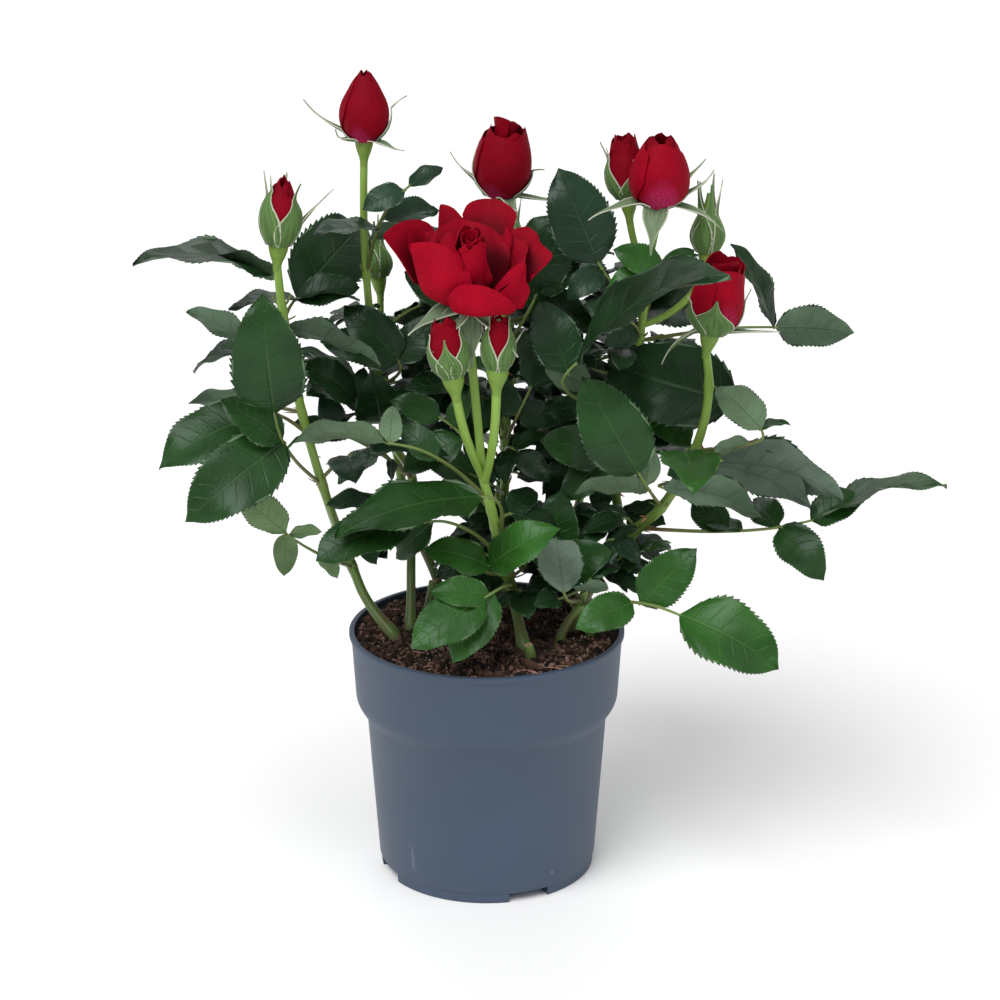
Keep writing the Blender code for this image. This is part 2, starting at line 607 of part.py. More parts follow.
def flower_shapes(flower, foot, radius):
    """The hip with its bud or bloom, and the sepals, of a flower that sits on a stalk's end."""
    axis = Vector((*flower.lean, 1)).normalized()
    out = square_to(Vector((0.35, -1, 0)), axis)
    across = axis.cross(out)
    half = flower.width / 2
    hip = [(-HIP_SINK, 0), (-HIP_SINK * 2 / 3, radius * 0.9)]
    hip += [(up * HIP_HEIGHT, out_share * HIP_RADIUS) for up, out_share in HIP_OUTLINE]
    if flower.kind == "bloom":
        body = [(HIP_HEIGHT + share * flower.height, width * half) for share, width in BLOOM_OUTLINE]
        shapes = [lathe_shape(foot, axis, hip + body, BLOOM_SIDES, BLOOM_PETALS, half * BLOOM_LOBE_START)]
    else:
        body = [(HIP_HEIGHT + share * flower.height, width * half) for share, width in BUD_OUTLINE]
        shapes = [lathe_shape(foot, axis, hip + body, BUD_SIDES)]
    seat = foot + axis * (HIP_HEIGHT - SEPAL_SEAT)
    closed = flower.spread < CLOSED_SPREAD
    for k in range(SEPAL_COUNT):
        turn = 2 * math.pi * (k + SEPAL_TURN) / SEPAL_COUNT
        outward = out * math.cos(turn) + across * math.sin(turn)
        if closed:
            root = seat + outward * (HIP_RADIUS / 2)
            along = (axis + outward * CLOSED_FLARE).normalized()
            up = square_to(outward, along)
            curl = CLOSED_SEPAL_CURL
        else:
            opening = math.radians(flower.spread + OPENING_SWING * math.sin(OPENING_STEP * k))
            along = axis * math.cos(opening) + outward * math.sin(opening)
            up = outward * math.cos(opening) - axis * math.sin(opening)
            root = seat + outward * (HIP_RADIUS / 3) - along * SEPAL_SINK
            curl = SEPAL_CURL
        shapes.append(blade_shape(root, along, up, SEPAL_LENGTH, SEPAL_WIDTH, SEPAL_FOLD, curl))
    return shapes


def sky_at(face):
    """The way a blade's upper side turns when it tips forward by so many degrees."""
    face = math.radians(face)
    return Vector((0, -math.sin(face), math.cos(face)))


def leaf_plan(leaf, root, nudge):
    """A leaf's stalk as a line, and its blades as their base, heading, upper side and length."""
    turn, raised = nudge
    stalk_yaw, stalk_lift, reach = leaf.stalk
    blade_yaw, blade_lift, size = leaf.blade
    stalk = heading(stalk_yaw + turn, stalk_lift + raised)
    blade = heading(blade_yaw + turn, blade_lift + raised / 2)
    sky = sky_at(leaf.face)
    joint = root + stalk * reach
    control = joint - blade * (reach * STALK_BEND)
    line = []
    for i in range(len(STALK_RADII)):
        t = i / (len(STALK_RADII) - 1)
        line.append(root.lerp(control, t).lerp(control.lerp(joint, t), t))
    blades = [(joint - blade * END_SINK, blade, square_to(sky, blade), size)]
    if not isinstance(leaf.sides, int):
        for station, yaw, lift, length, side_face in leaf.sides:
            along = heading(yaw + turn, lift + raised / 2)
            place = along_line(line, station) - along * PAIR_SINK
            blades.append((place, along, square_to(sky_at(side_face), along), length))
        return line, blades
    ahead = (blade * 0.65 + stalk * 0.35).normalized()
    up = square_to(sky, ahead)
    across = ahead.cross(up)
    for rank, station in enumerate(PAIR_STATIONS[leaf.sides]):
        place = along_line(line, station)
        for hand in (-1, 1):
            along = ahead * math.cos(PAIR_ANGLE) + across * (hand * math.sin(PAIR_ANGLE)) - up * PAIR_DROOP
            along.normalize()
            length = size * PAIR_SCALE * PAIR_FALL ** rank
            blades.append((place - along * PAIR_SINK, along, square_to(up, along), length))
    return line, blades


def tree_of(shape):
    verts, faces = shape
    return BVHTree.FromPolygons([tuple(v) for v in verts], faces)


def is_clear(shape, trees):
    tree = tree_of(shape)
    return not any(tree.overlap(other) for other in trees)


def leaf_blade(blade, spare=0.0):
    base, along, up, length = blade
    return blade_shape(base, along, up, length, length * LEAFLET_WIDTH, LEAFLET_FOLD, LEAFLET_CURL, spare)


def leaf_shapes(leaf, root, trees, stem_tree):
    """A compound leaf's solids, or none where its stalk or its end leaflet finds no room."""
    for nudge in NUDGES:
        line, blades = leaf_plan(leaf, root, nudge)
        wide_radii = [radius + CLEARANCE for radius in STALK_RADII]
        if not is_clear(limb_shape(line, wide_radii, STALK_SIDES), trees):
            continue
        if not is_clear(leaf_blade(blades[0], CLEARANCE), trees + [stem_tree]):
            continue
        shapes = [limb_shape(line, STALK_RADII, STALK_SIDES), leaf_blade(blades[0])]
        for blade in blades[1:]:
            if is_clear(leaf_blade(blade, CLEARANCE), trees + [stem_tree]):
                shapes.append(leaf_blade(blade))
        return shapes
    return []


def in_crown(point):
    total = 0.0
    for value, centre, reach in zip(point, CROWN_CENTRE, CROWN_REACH):
        total += ((value - centre) / reach) ** 2
    return total <= 1


def rule_leaf(shoot, stem, index, dice):
    """A leaf that follows the seeded habit: turned on from the last, arching outwards."""
    low, high = STATION_RANGE
    station = low + (high - low) * (index + 0.5) / shoot.rule_leaves
    yaw = shoot.turn + LEAF_TURN * index + dice.uniform(-TURN_SPREAD, TURN_SPREAD)
    reach = dice.uniform(*STALK_REACH)
    vigour = 1.0 if shoot.leaves else BACK_VIGOUR
    size = vigour * dice.uniform(*BLADE_SIZE) * (1 - BLADE_TAPER * abs(station - 0.45))
    stalk = (yaw, dice.uniform(*STALK_LIFT), vigour * reach)
    blade = (yaw + dice.uniform(-BLADE_TURN, BLADE_TURN), dice.uniform(*BLADE_LIFT), size)
    front = -math.sin(math.radians(yaw))
    face = BLADE_FACE * front + dice.uniform(-FACE_SPREAD, FACE_SPREAD)
    return Leaf(station, stalk, blade, 1 + index % 2, face)


def join_mass(name, shapes, material):
    """One Boolean union of a mass's shapes, kept as its single largest closed body."""
    group = bpy.data.collections.new(name + "_parts")
    bpy.context.scene.collection.children.link(group)
    trunk = new_object(name, shapes[0], material)
    for i, shape in enumerate(shapes[1:]):
        new_object(f"{name}_part_{i + 1}", shape, material, group)
    union = trunk.modifiers.new("union", "BOOLEAN")
    union.operation = "UNION"
    union.operand_type = "COLLECTION"
    union.collection = group
    union.solver = "EXACT"
    bpy.context.view_layer.update()
    graph = bpy.context.evaluated_depsgraph_get()
    joined = bpy.data.meshes.new_from_object(trunk.evaluated_get(graph))
    trunk.modifiers.clear()
    trunk.data = joined
    for piece in list(group.objects):
        bpy.data.objects.remove(piece)
    bpy.data.collections.remove(group)
    drop_scraps(joined)
    smooth(trunk, MASS_SMOOTH_ANGLE)


def drop_scraps(mesh):
    """Leaves only the body with the most vertices, without loose scraps or sealed hollows."""
    links = [[] for _ in mesh.vertices]
    for edge in mesh.edges:
        a, b = edge.vertices
        links[a].append(b)
        links[b].append(a)
    group_of = [-1] * len(links)
    sizes = []
    for start in range(len(links)):
        if group_of[start] >= 0:
            continue
        group_of[start] = len(sizes)
        stack = [start]
        count = 0
        while stack:
            here = stack.pop()
            count += 1
            for after in links[here]:
                if group_of[after] < 0:
                    group_of[after] = len(sizes)
                    stack.append(after)
        sizes.append(count)
    main = sizes.index(max(sizes))
    verts = []
    new_index = {}
    for i, vertex in enumerate(mesh.vertices):
        if group_of[i] == main:
            new_index[i] = len(verts)
            verts.append(vertex.co.copy())
    faces = []
    for polygon in mesh.polygons:
        if group_of[polygon.vertices[0]] == main:
            faces.append([new_index[v] for v in polygon.vertices])
    mesh.clear_geometry()
    mesh.from_pydata(verts, [], faces)
    mesh.validate()


def build_shoots(cane_shapes):
    """All the leafy shoots: stems and flowers first, then each leaf where it has room."""
    leaf_green = new_material("leaf_green", (0.020, 0.075, 0.018), 0.42)
    pot_reach = RIM_RADIUS + 2 * CLEARANCE
    pot_ends = [Vector((0, 0, 0)), Vector((0, 0, RIM_HEIGHT + CLEARANCE))]
    pot_and_soil = [tree_of(limb_shape(pot_ends, (pot_reach, pot_reach), SOIL_SEGMENTS))]
    cane_trees = [tree_of(shape) for shape in cane_shapes.values()]
    stems = {}
    masses = {}
    trees = {}
    for name, shoot in SHOOTS.items():
        points, radii = shoot_line(shoot)
        shapes = [limb_shape(points, radii, STEM_SIDES)]
        for flower in shoot.flowers:
            foot = points[-1]
            if flower.foot:
                start = along_line(points, flower.station)
                foot = Vector(flower.foot)
                stalk = bowed(start, foot, Vector(flower.bow), BRANCH_RINGS)
                shapes.append(limb_shape(stalk, [shoot.radii[1]] * BRANCH_RINGS, STEM_SIDES))
            shapes += flower_shapes(flower, foot, shoot.radii[1])
        stems[name] = points
        masses[name] = shapes
        trees[name] = [tree_of(shape) for shape in shapes]

    def all_but_stem(name):
        found = list(pot_and_soil) + list(cane_trees)
        for other, grown in trees.items():
            found += grown[1:] if other == name else grown
        return found

    def grow(name, leaf):
        root = along_line(stems[name], leaf.station)
        shapes = leaf_shapes(leaf, root, all_but_stem(name), trees[name][0])
        masses[name] += shapes
        trees[name] += [tree_of(shape) for shape in shapes]

    for name, shoot in SHOOTS.items():
        for leaf in shoot.leaves:
            grow(name, leaf)
    dice = random.Random(SEED)
    for turn in range(max(shoot.rule_leaves for shoot in SHOOTS.values())):
        for name, shoot in SHOOTS.items():
            if turn < shoot.rule_leaves:
                leaf = rule_leaf(shoot, stems[name], turn, dice)
                root = along_line(stems[name], leaf.station)
                joint = root + heading(*leaf.stalk[:2]) * leaf.stalk[2]
                tip = joint + heading(*leaf.blade[:2]) * leaf.blade[2]
                if in_crown(tip):
                    grow(name, leaf)
    for name in SHOOTS:
        join_mass(name, masses[name], leaf_green)


def main():
    for old in list(bpy.data.objects):
        bpy.data.objects.remove(old)
    build_pot()
    build_soil()
    build_shoots(build_canes())


main()
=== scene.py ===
import random
from collections import namedtuple
from math import cos, exp, hypot, inf, pi, radians, sin, sqrt, tan

import bpy
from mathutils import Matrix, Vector, noise
from mathutils.bvhtree import BVHTree


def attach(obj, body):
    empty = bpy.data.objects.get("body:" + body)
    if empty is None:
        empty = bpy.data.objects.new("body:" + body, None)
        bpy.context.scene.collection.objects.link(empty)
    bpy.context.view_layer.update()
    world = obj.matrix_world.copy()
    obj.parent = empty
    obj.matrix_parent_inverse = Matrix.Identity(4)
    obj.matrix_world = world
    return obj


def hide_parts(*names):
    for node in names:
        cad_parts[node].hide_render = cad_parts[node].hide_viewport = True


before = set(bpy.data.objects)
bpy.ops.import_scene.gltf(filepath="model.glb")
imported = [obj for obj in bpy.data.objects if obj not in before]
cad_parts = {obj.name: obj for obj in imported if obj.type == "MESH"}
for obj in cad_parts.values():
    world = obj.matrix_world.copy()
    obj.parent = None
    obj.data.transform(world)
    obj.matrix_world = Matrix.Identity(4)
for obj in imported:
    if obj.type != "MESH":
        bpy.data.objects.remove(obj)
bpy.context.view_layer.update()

# Z is up, -Y is the plant's front. The plant's own sizes are in millimetres until a piece is built.
unit = 0.001
gap = 0.3
upward = Vector((0, 0, 1))


# Small tools for lines and directions

def heading(yaw, lift):  # degrees round Z, and above level
    yaw = radians(yaw)
    lift = radians(lift)
    return Vector((cos(lift) * cos(yaw), cos(lift) * sin(yaw), sin(lift)))


def squareTo(vector, along):
    return (vector - along * vector.dot(along)).normalized()


def swung(first, second, turn):  # first turned towards second
    return first * cos(turn) + second * sin(turn)


def steps(count):  # even steps from 0 to 1
    return [i / (count - 1) for i in range(count)]


def bowed(start, end, bow, count):  # from start to end, swung out by bow half way
    return [start.lerp(end, t) + bow * (4 * t * (1 - t)) for t in steps(count)]


def tangents(points):
    last = len(points) - 1
    return [(points[min(i + 1, last)] - points[max(i - 1, 0)]).normalized() for i in range(len(points))]


def alongLine(points, station):  # the place at 0 to 1 along evenly stepped points
    place = station * (len(points) - 1)
    i = min(int(place), len(points) - 2)
    return points[i].lerp(points[i + 1], place - i)


def spline(values, t):  # a smooth value or point at 0 to 1 along a list of them
    place = min(max(t, 0.0), 1.0) * (len(values) - 1)
    i = min(int(place), len(values) - 2)
    f = place - i
    a = values[max(i - 1, 0)]
    b = values[i]
    c = values[i + 1]
    d = values[min(i + 2, len(values) - 1)]
    curve = (a * 2 - b * 5 + c * 4 - d) * f ** 2
    return (b * 2 + (c - a) * f + curve + (b * 3 - a - c * 3 + d) * f ** 3) * 0.5


def blend(low, high, t):
    return low + (high - low) * t


def ease(low, high, value):  # 0 below low, 1 above high, smooth between
    t = min(max((value - low) / (high - low), 0.0), 1.0)
    return t * t * (3 - 2 * t)


# What a piece is made of while it grows: points, faces, the material and the UV of each face

class Pile:
    def __init__(self):
        self.verts = []
        self.faces = []
        self.slots = []
        self.uvs = []

    def add(self, verts, faces, slots=0, uvs=None):
        first = len(self.verts)
        self.verts += verts
        for i, face in enumerate(faces):
            self.faces.append([first + v for v in face])
            self.slots.append(slots if isinstance(slots, int) else slots[i])
            for v in face:
                self.uvs += uvs[v] if uvs else (0.0, 0.0)


def finishPiece(piece, nodes):
    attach(piece, "root")
    if nodes:
        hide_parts(*nodes)
    print(piece.name, len(piece.data.loop_triangles), "triangles")


def newMesh(name, verts, faces):
    mesh = bpy.data.meshes.new(name)
    mesh.from_pydata([v * unit for v in verts], [], faces)
    return mesh


def addObject(name, mesh):
    piece = bpy.data.objects.new(name, mesh)
    bpy.context.scene.collection.objects.link(piece)
    return piece


def buildPiece(name, pile, materials, nodes=(), sharpAngle=50):
    mesh = newMesh(name, pile.verts, pile.faces)
    for material in materials:
        mesh.materials.append(material)
    mesh.polygons.foreach_set("material_index", pile.slots)
    mesh.uv_layers.new(name="along").data.foreach_set("uv", pile.uvs)
    mesh.shade_smooth()
    mesh.set_sharp_from_angle(angle=radians(sharpAngle))
    mesh.calc_loop_triangles()
    finishPiece(addObject(name, mesh), nodes)


def turnsOf(sides):
    return [2 * pi * k / sides for k in range(sides)]


def ringFaces(rings, sides, ends=True):  # the faces between rings of points, and over both ends
    faces = []
    for i in range(rings - 1):
        for k in range(sides):
            a = i * sides + k
            b = i * sides + (k + 1) % sides
            faces.append((a, b, b + sides, a + sides))
    if ends:
        faces.append(tuple(range(sides))[::-1])
        faces.append(tuple(range((rings - 1) * sides, rings * sides)))
    return faces


def ringAims(points, sides, flatFoot=False):  # at each point of a line, the ways out to its ring's corners
    axis = tangents(points)
    side = squareTo(Vector((0.31, 0.95, 0.05)), axis[0])
    aims = []
    for i in range(len(points)):
        along = upward if flatFoot and i == 0 else axis[i]
        side = squareTo(side, along)
        other = along.cross(side)
        aims.append([swung(side, other, turn) for turn in turnsOf(sides)])
    return aims


def limbShape(points, radii, sides, flatFoot=False):  # a plain closed limb
    rings = zip(points, radii, ringAims(points, sides, flatFoot))
    verts = [point + aim * radius for point, radius, aims in rings for aim in aims]
    return verts, ringFaces(len(points), sides)


def sheet(rows, columns, place):  # a grid of points, each at place(v, u) with v and u from 0 to 1
    return [[place(v, u) for u in steps(columns)] for v in steps(rows)]


def shellShape(grid, thickness):  # a thin closed sheet round a grid of points, its outer side in slot 0
    rows = len(grid)
    columns = len(grid[0])
    outer = []
    inner = []
    for i in range(rows):
        for k in range(columns):
            down = grid[max(i - 1, 0)][k]
            up = grid[min(i + 1, rows - 1)][k]
            left = grid[i][max(k - 1, 0)]
            right = grid[i][min(k + 1, columns - 1)]
            normal = (right - left).cross(up - down)
            normal = normal.normalized() if normal.length > 1e-9 else upward
            outer.append(grid[i][k] + normal * (thickness / 2))
            inner.append(grid[i][k] - normal * (thickness / 2))
    count = rows * columns
    faces = []
    slots = []
    for shift, slot in ((0, 0), (count, 1)):
        for i in range(rows - 1):
            for k in range(columns - 1):
                a = shift + i * columns + k
                corners = (a, a + 1, a + columns + 1, a + columns)
                faces.append(corners if shift == 0 else corners[::-1])
                slots.append(slot)
    edge = list(range(columns))
    edge += [i * columns + columns - 1 for i in range(1, rows)]
    edge += [(rows - 1) * columns + k for k in range(columns - 2, -1, -1)]
    edge += [i * columns for i in range(rows - 2, 0, -1)]
    for a, b in zip(edge, edge[1:] + edge[:1]):
        faces.append((b, a, a + count, b + count))
        slots.append(1)
    return outer + inner, faces, slots, [(u, v) for v in steps(rows) for u in steps(columns)] * 2


# Materials and node trees. A skin is a material under making, with short ways to add to its tree.

def addNode(tree, kind, values=None, **settings):
    node = tree.nodes.new(kind)
    for key, value in settings.items():
        setattr(node, key, value)
    for socket, value in (values or {}).items():
        if isinstance(value, bpy.types.NodeSocket):
            tree.links.new(value, node.inputs[socket])
        else:
            node.inputs[socket].default_value = value
    return node


def shade(colour, share):
    return [min(1, c * share) for c in colour]


class Skin:
    def __init__(self, name, colour, roughness, sockets):
        self.material = bpy.data.materials.new(name)
        self.material.use_nodes = True
        self.tree = self.material.node_tree
        self.inputs = self.tree.nodes["Principled BSDF"].inputs
        for socket, value in {"Base Color": (*colour, 1.0), "Roughness": roughness, **sockets}.items():
            self.inputs[socket].default_value = value
        place = addNode(self.tree, "ShaderNodeTexCoord").outputs
        self.spot = place["Object"]
        self.uv = place["UV"]

    def add(self, kind, output, values, **settings):
        return addNode(self.tree, kind, values, **settings).outputs[output]

    def math(self, operation, first, second=0.0):
        return self.add("ShaderNodeMath", 0, {0: first, 1: second, 2: 0.0}, operation=operation)

    def times(self, first, second):
        return self.math("MULTIPLY", first, second)

    def fromMiddle(self, value):
        return self.math("ABSOLUTE", self.math("SUBTRACT", value, 0.5))

    def axis(self, place, name):
        return self.add("ShaderNodeSeparateXYZ", name, {"Vector": place})

    def span(self, value, low, high, start=0.0, end=1.0):  # from start at low to end at high, smooth between
        values = {"Value": value, "From Min": low, "From Max": high, "To Min": start, "To Max": end}
        return self.add("ShaderNodeMapRange", "Result", values, interpolation_type="SMOOTHSTEP")

    def mix(self, share, *tones):  # the first tone at 0 and the second at 1, each a colour or a socket
        tones = [tone if isinstance(tone, bpy.types.NodeSocket) else (*tone, 1.0) for tone in tones]
        return self.add("ShaderNodeMix", 2, {0: share, 6: tones[0], 7: tones[1]}, data_type="RGBA")

    def noise(self, scale, detail=2.0, stretch=None, place=None):
        place = place or self.spot
        if stretch:
            place = self.add("ShaderNodeMapping", 0, {"Vector": place, "Scale": stretch})
        return self.add("ShaderNodeTexNoise", "Fac", {"Vector": place, "Scale": scale, "Detail": detail})

    def paint(self, share, first, second):
        self.tree.links.new(self.mix(share, first, second), self.inputs["Base Color"])

    def bump(self, height, strength, distance):
        values = {"Height": height, "Strength": strength, "Distance": distance}
        self.tree.links.new(self.add("ShaderNodeBump", "Normal", values), self.inputs["Normal"])
        return self.material


# Pot: a turned shell with a rolled lip, a collar, a fine ledge at the foot, feet and drain holes

pot = {
    "rimRadius": 52.5, "rimHeight": 96.0, "wall": 1.2, "lipHeight": 1.8, "lipTaper": 1.2,
    "collarTop": 51.6, "collarFoot": 50.1, "collarFootHeight": 69.5,
    "shoulder": 46.0, "shoulderHeight": 62.0, "bodyFoot": 42.0, "ledgeHeight": 4.4,
    "foot": 41.3, "base": 1.6, "rail": 33.0, "railHeight": 5.4,
    "notches": 4, "notchWidth": 16.0, "notchHeight": 3.6, "notchTurn": -67.0,
    "drains": 6, "drainRadius": 3.2, "drainCircle": 22.0,
    "segments": 144, "steps": 10, "colour": (0.046, 0.070, 0.112), "scuff": (0.13, 0.165, 0.21),
}


def innerRadius(height):
    if height <= pot["shoulderHeight"]:
        rise = (height - pot["ledgeHeight"]) / (pot["shoulderHeight"] - pot["ledgeHeight"])
        return blend(pot["bodyFoot"], pot["shoulder"], rise) - pot["wall"]
    rise = (height - pot["collarFootHeight"]) / (pot["rimHeight"] - pot["collarFootHeight"])
    return blend(pot["collarFoot"], pot["collarTop"], rise) - pot["wall"]


def potProfile():
    rim, top, foot, body = pot["rimRadius"], pot["rimHeight"], pot["foot"], pot["bodyFoot"]
    ledge = pot["ledgeHeight"]
    low = top - pot["lipHeight"]
    mouth = pot["collarTop"] - pot["wall"]
    profile = [(0, 0), (foot - 0.6, 0), (foot - 0.1, 0.15), (foot, 0.6), (foot + 0.15, ledge - 0.5),
               (foot + 0.45, ledge - 0.2), (body - 0.1, ledge + 0.2), (body, ledge + 0.5),
               (blend(body, pot["shoulder"], 0.5), blend(ledge, pot["shoulderHeight"], 0.5))]
    for i in range(pot["steps"] + 1):  # the soft step out from the body to the collar
        t = i / pot["steps"]
        out = ease(0.0, 1.0, t) * 0.55 + t * 0.45
        profile.append((blend(pot["shoulder"], pot["collarFoot"], out),
                        blend(pot["shoulderHeight"], pot["collarFootHeight"], t ** 1.25)))
    profile += [(pot["collarFoot"] + 0.12, pot["collarFootHeight"] + 0.8),
                (pot["collarTop"], low - pot["lipTaper"]), (pot["collarTop"] + 0.15, low - 0.7),
                (rim - 0.12, low - 0.1), (rim, low + 0.25), (rim, top - 0.5), (rim - 0.16, top - 0.14),
                (rim - 0.5, top), (mouth + 0.3, top), (mouth, top - 0.3)]
    for key in ("collarFootHeight", "shoulderHeight", "railHeight"):
        profile.append((innerRadius(pot[key]), pot[key]))
    return profile + [(pot["rail"], pot["railHeight"]), (pot["rail"], pot["base"]), (0, pot["base"])]


def turnedMesh(name, profile, segments):  # a closed turned body from radius and height pairs
    verts = []
    faces = []
    rings = []
    for radius, height in profile:
        count = 1 if radius == 0 else segments
        rings.append([len(verts) + k for k in range(count)])
        for k in range(count):
            turn = 2 * pi * k / segments
            verts.append(Vector((radius * cos(turn), radius * sin(turn), height)))
    for low, high in zip(rings, rings[1:]):
        for k in range(segments):
            after = (k + 1) % segments
            corners = [low[k % len(low)], low[after % len(low)], high[after % len(high)], high[k % len(high)]]
            faces.append(list(dict.fromkeys(corners)))
    return newMesh(name, verts, faces)


def plainMesh(piece):  # the piece's mesh with its modifiers taken up, and the modifiers gone
    bpy.context.view_layer.update()
    graph = bpy.context.evaluated_depsgraph_get()
    mesh = bpy.data.meshes.new_from_object(piece.evaluated_get(graph))
    piece.modifiers.clear()
    piece.data = mesh
    mesh.name = piece.name
    mesh.calc_loop_triangles()


def cutterMesh(centre, size, turn, sides=4):  # a box, or a drum where it has more sides
    turn = radians(turn)
    reach = sqrt(0.5) if sides == 4 else 0.5
    verts = []
    for z in (centre[2] - size[2] / 2, centre[2] + size[2] / 2):
        for k in range(sides):
            angle = 2 * pi * (k + 0.5) / sides
            x = centre[0] + size[0] * reach * cos(angle)
            y = centre[1] + size[1] * reach * sin(angle)
            turned = (x * cos(turn) - y * sin(turn), x * sin(turn) + y * cos(turn))
            verts.append(Vector((*turned, z)))
    faces = ringFaces(2, sides)
    return newMesh("cutter", verts, faces[-2:] + faces[:-2])


def potMaterial():
    skin = Skin("pot_plastic", pot["colour"], 0.5, {"Specular IOR Level": 0.42})
    cloud = skin.noise(14, 3)
    scratch = skin.span(skin.noise(260, 2, (1, 1, 0.16)), 0.70, 0.76)
    fleck = skin.span(skin.noise(420, 1), 0.735, 0.77)
    low = skin.span(skin.axis(skin.spot, "Z"), 0.058, 0.012)
    wear = skin.times(skin.math("MAXIMUM", scratch, fleck), skin.span(cloud, 0.42, 0.62))
    wear = skin.times(wear, skin.math("ADD", skin.times(low, 0.5), 0.18))
    plain = skin.mix(skin.span(cloud, 0.3, 0.7), shade(pot["colour"], 0.92), shade(pot["colour"], 1.10))
    skin.paint(wear, plain, pot["scuff"])
    skin.tree.links.new(skin.span(cloud, 0.3, 0.7, 0.46, 0.56), skin.inputs["Roughness"])
    return skin.bump(skin.noise(900), 0.12, 0.00012)


def buildPot():
    body = addObject("nursery_pot", turnedMesh("nursery_pot", potProfile(), pot["segments"]))
    cutters = []
    for i in range(pot["notches"]):
        turn = pot["notchTurn"] + i * 360 / pot["notches"]
        centre = (pot["rail"] + 8.0, 0, pot["notchHeight"] / 2 - 1)
        cutters.append(cutterMesh(centre, (12.0, pot["notchWidth"], pot["notchHeight"] + 2), turn))
    for i in range(pot["drains"]):
        width = 2 * pot["drainRadius"]
        turn = 360 * (i + 0.5) / pot["drains"]
        cutters.append(cutterMesh((pot["drainCircle"], 0, 0), (width, width, 8), turn, 20))
    for mesh in cutters:
        cutter = addObject("cutter", mesh)
        cut = body.modifiers.new("cut", "BOOLEAN")
        cut.operation = "DIFFERENCE"
        cut.solver = "EXACT"
        cut.object = cutter
        plainMesh(body)
        bpy.data.objects.remove(cutter)
    body.data.materials.clear()
    body.data.materials.append(potMaterial())
    body.data.shade_smooth()
    body.data.set_sharp_from_angle(angle=radians(35))
    finishPiece(body, ["pot"])


# Soil: a closed body that fills the pot, with crumbs, fibres and pale grains strewn on its top

soil = {
    "edgeHeight": 94.3, "top": 96.0, "flatRadius": 46.0, "clear": 0.3, "rings": 44, "segments": 120,
    "lump": 1.0, "grain": 0.55, "dark": (0.006, 0.0035, 0.0024), "brown": (0.042, 0.021, 0.013),
    "bodyDrop": 2.5, "topRings": 24, "topSegments": 72, "topInset": 1.6,
    "strewn": {  # how many and how long, then the name, the two tones, the noise and the roughness
        "peat_crumbs": {"count": 260000.0, "smallest": 0.00035, "largest": 0.0015, "seed": 3, "look": (
            "peat_crumb", (0.010, 0.005, 0.0035), (0.200, 0.115, 0.085), 180, 0.95)},
        "peat_clods": {"count": 52000.0, "smallest": 0.0011, "largest": 0.0031, "seed": 8, "look": (
            "peat_clod", (0.007, 0.004, 0.003), (0.070, 0.036, 0.024), 160, 0.95)},
        "pale_grains": {"count": 16000.0, "smallest": 0.00020, "largest": 0.0006, "seed": 21, "look": (
            "pale_grain", (0.42, 0.38, 0.34), (0.75, 0.72, 0.68), 300, 0.8)},
        "peat_fibres": {"count": 26000.0, "smallest": 0.003, "largest": 0.011, "seed": 12, "look": (
            "peat_fibre", (0.16, 0.075, 0.055), (0.40, 0.24, 0.18), 300, 0.9)},
    },
}


def soilHeight(x, y):
    radius = hypot(x, y)
    edge = innerRadius(soil["edgeHeight"]) - soil["clear"]
    height = blend(soil["top"], soil["edgeHeight"], ease(soil["flatRadius"] - 12, edge, radius))
    lumps = noise.noise(Vector((x, y, 3)) * 0.06) + 0.5 * noise.noise(Vector((x, y, 9)) * 0.15)
    height += soil["lump"] * lumps
    height += soil["grain"] * noise.noise(Vector((x, y, 1)) * 0.55)
    return height


def soilMaterial():
    skin = Skin("peat_soil", soil["brown"], 0.95, {"Specular IOR Level": 0.2})
    skin.paint(skin.span(skin.noise(130, 4), 0.38, 0.66), soil["dark"], soil["brown"])
    return skin.bump(skin.noise(700, 4), 0.9, 0.0008)


def simpleMaterial(name, dark, light, scale, roughness):  # two tones dealt out by a fine noise
    skin = Skin(name, light, roughness, {"Specular IOR Level": 0.3})
    skin.paint(skin.span(skin.noise(scale), 0.35, 0.65), dark, light)
    return skin.bump(skin.noise(scale * 4), 0.35, 0.0003)


def newTree(name, settings):  # a geometry tree with named inputs, and points dealt out over its mesh
    tree = bpy.data.node_groups.new(name, "GeometryNodeTree")
    tree.interface.new_socket("Geometry", in_out="INPUT", socket_type="NodeSocketGeometry")
    tree.interface.new_socket("Geometry", in_out="OUTPUT", socket_type="NodeSocketGeometry")
    for label, value in settings.items():
        if isinstance(value, (int, float)):
            kind = "NodeSocketInt" if isinstance(value, int) else "NodeSocketFloat"
            tree.interface.new_socket(label, in_out="INPUT", socket_type=kind)
    given = addNode(tree, "NodeGroupInput").outputs
    values = {"Mesh": given["Geometry"], "Density": given["count"], "Seed": given["seed"]}
    return tree, given, addNode(tree, "GeometryNodeDistributePointsOnFaces", values).outputs


def addRandom(tree, low, high, seed=0):  # a random number or vector for each point
    first = 0 if isinstance(low, tuple) else 2
    values = {first: low, first + 1: high, "Seed": seed}
    kind = "FLOAT" if first else "FLOAT_VECTOR"
    return addNode(tree, "FunctionNodeRandomValue", values, data_type=kind).outputs[first // 2]


def endTree(tree, points, shape, turn, scale, material):  # the shape set on each point
    values = {"Points": points["Points"], "Instance": shape, "Rotation": turn, "Scale": scale}
    strewn = addNode(tree, "GeometryNodeInstanceOnPoints", values).outputs[0]
    real = addNode(tree, "GeometryNodeRealizeInstances", {0: strewn}).outputs[0]
    finish = addNode(tree, "GeometryNodeSetMaterial", {"Geometry": real, "Material": material})
    addNode(tree, "NodeGroupOutput", {0: finish.outputs[0]})


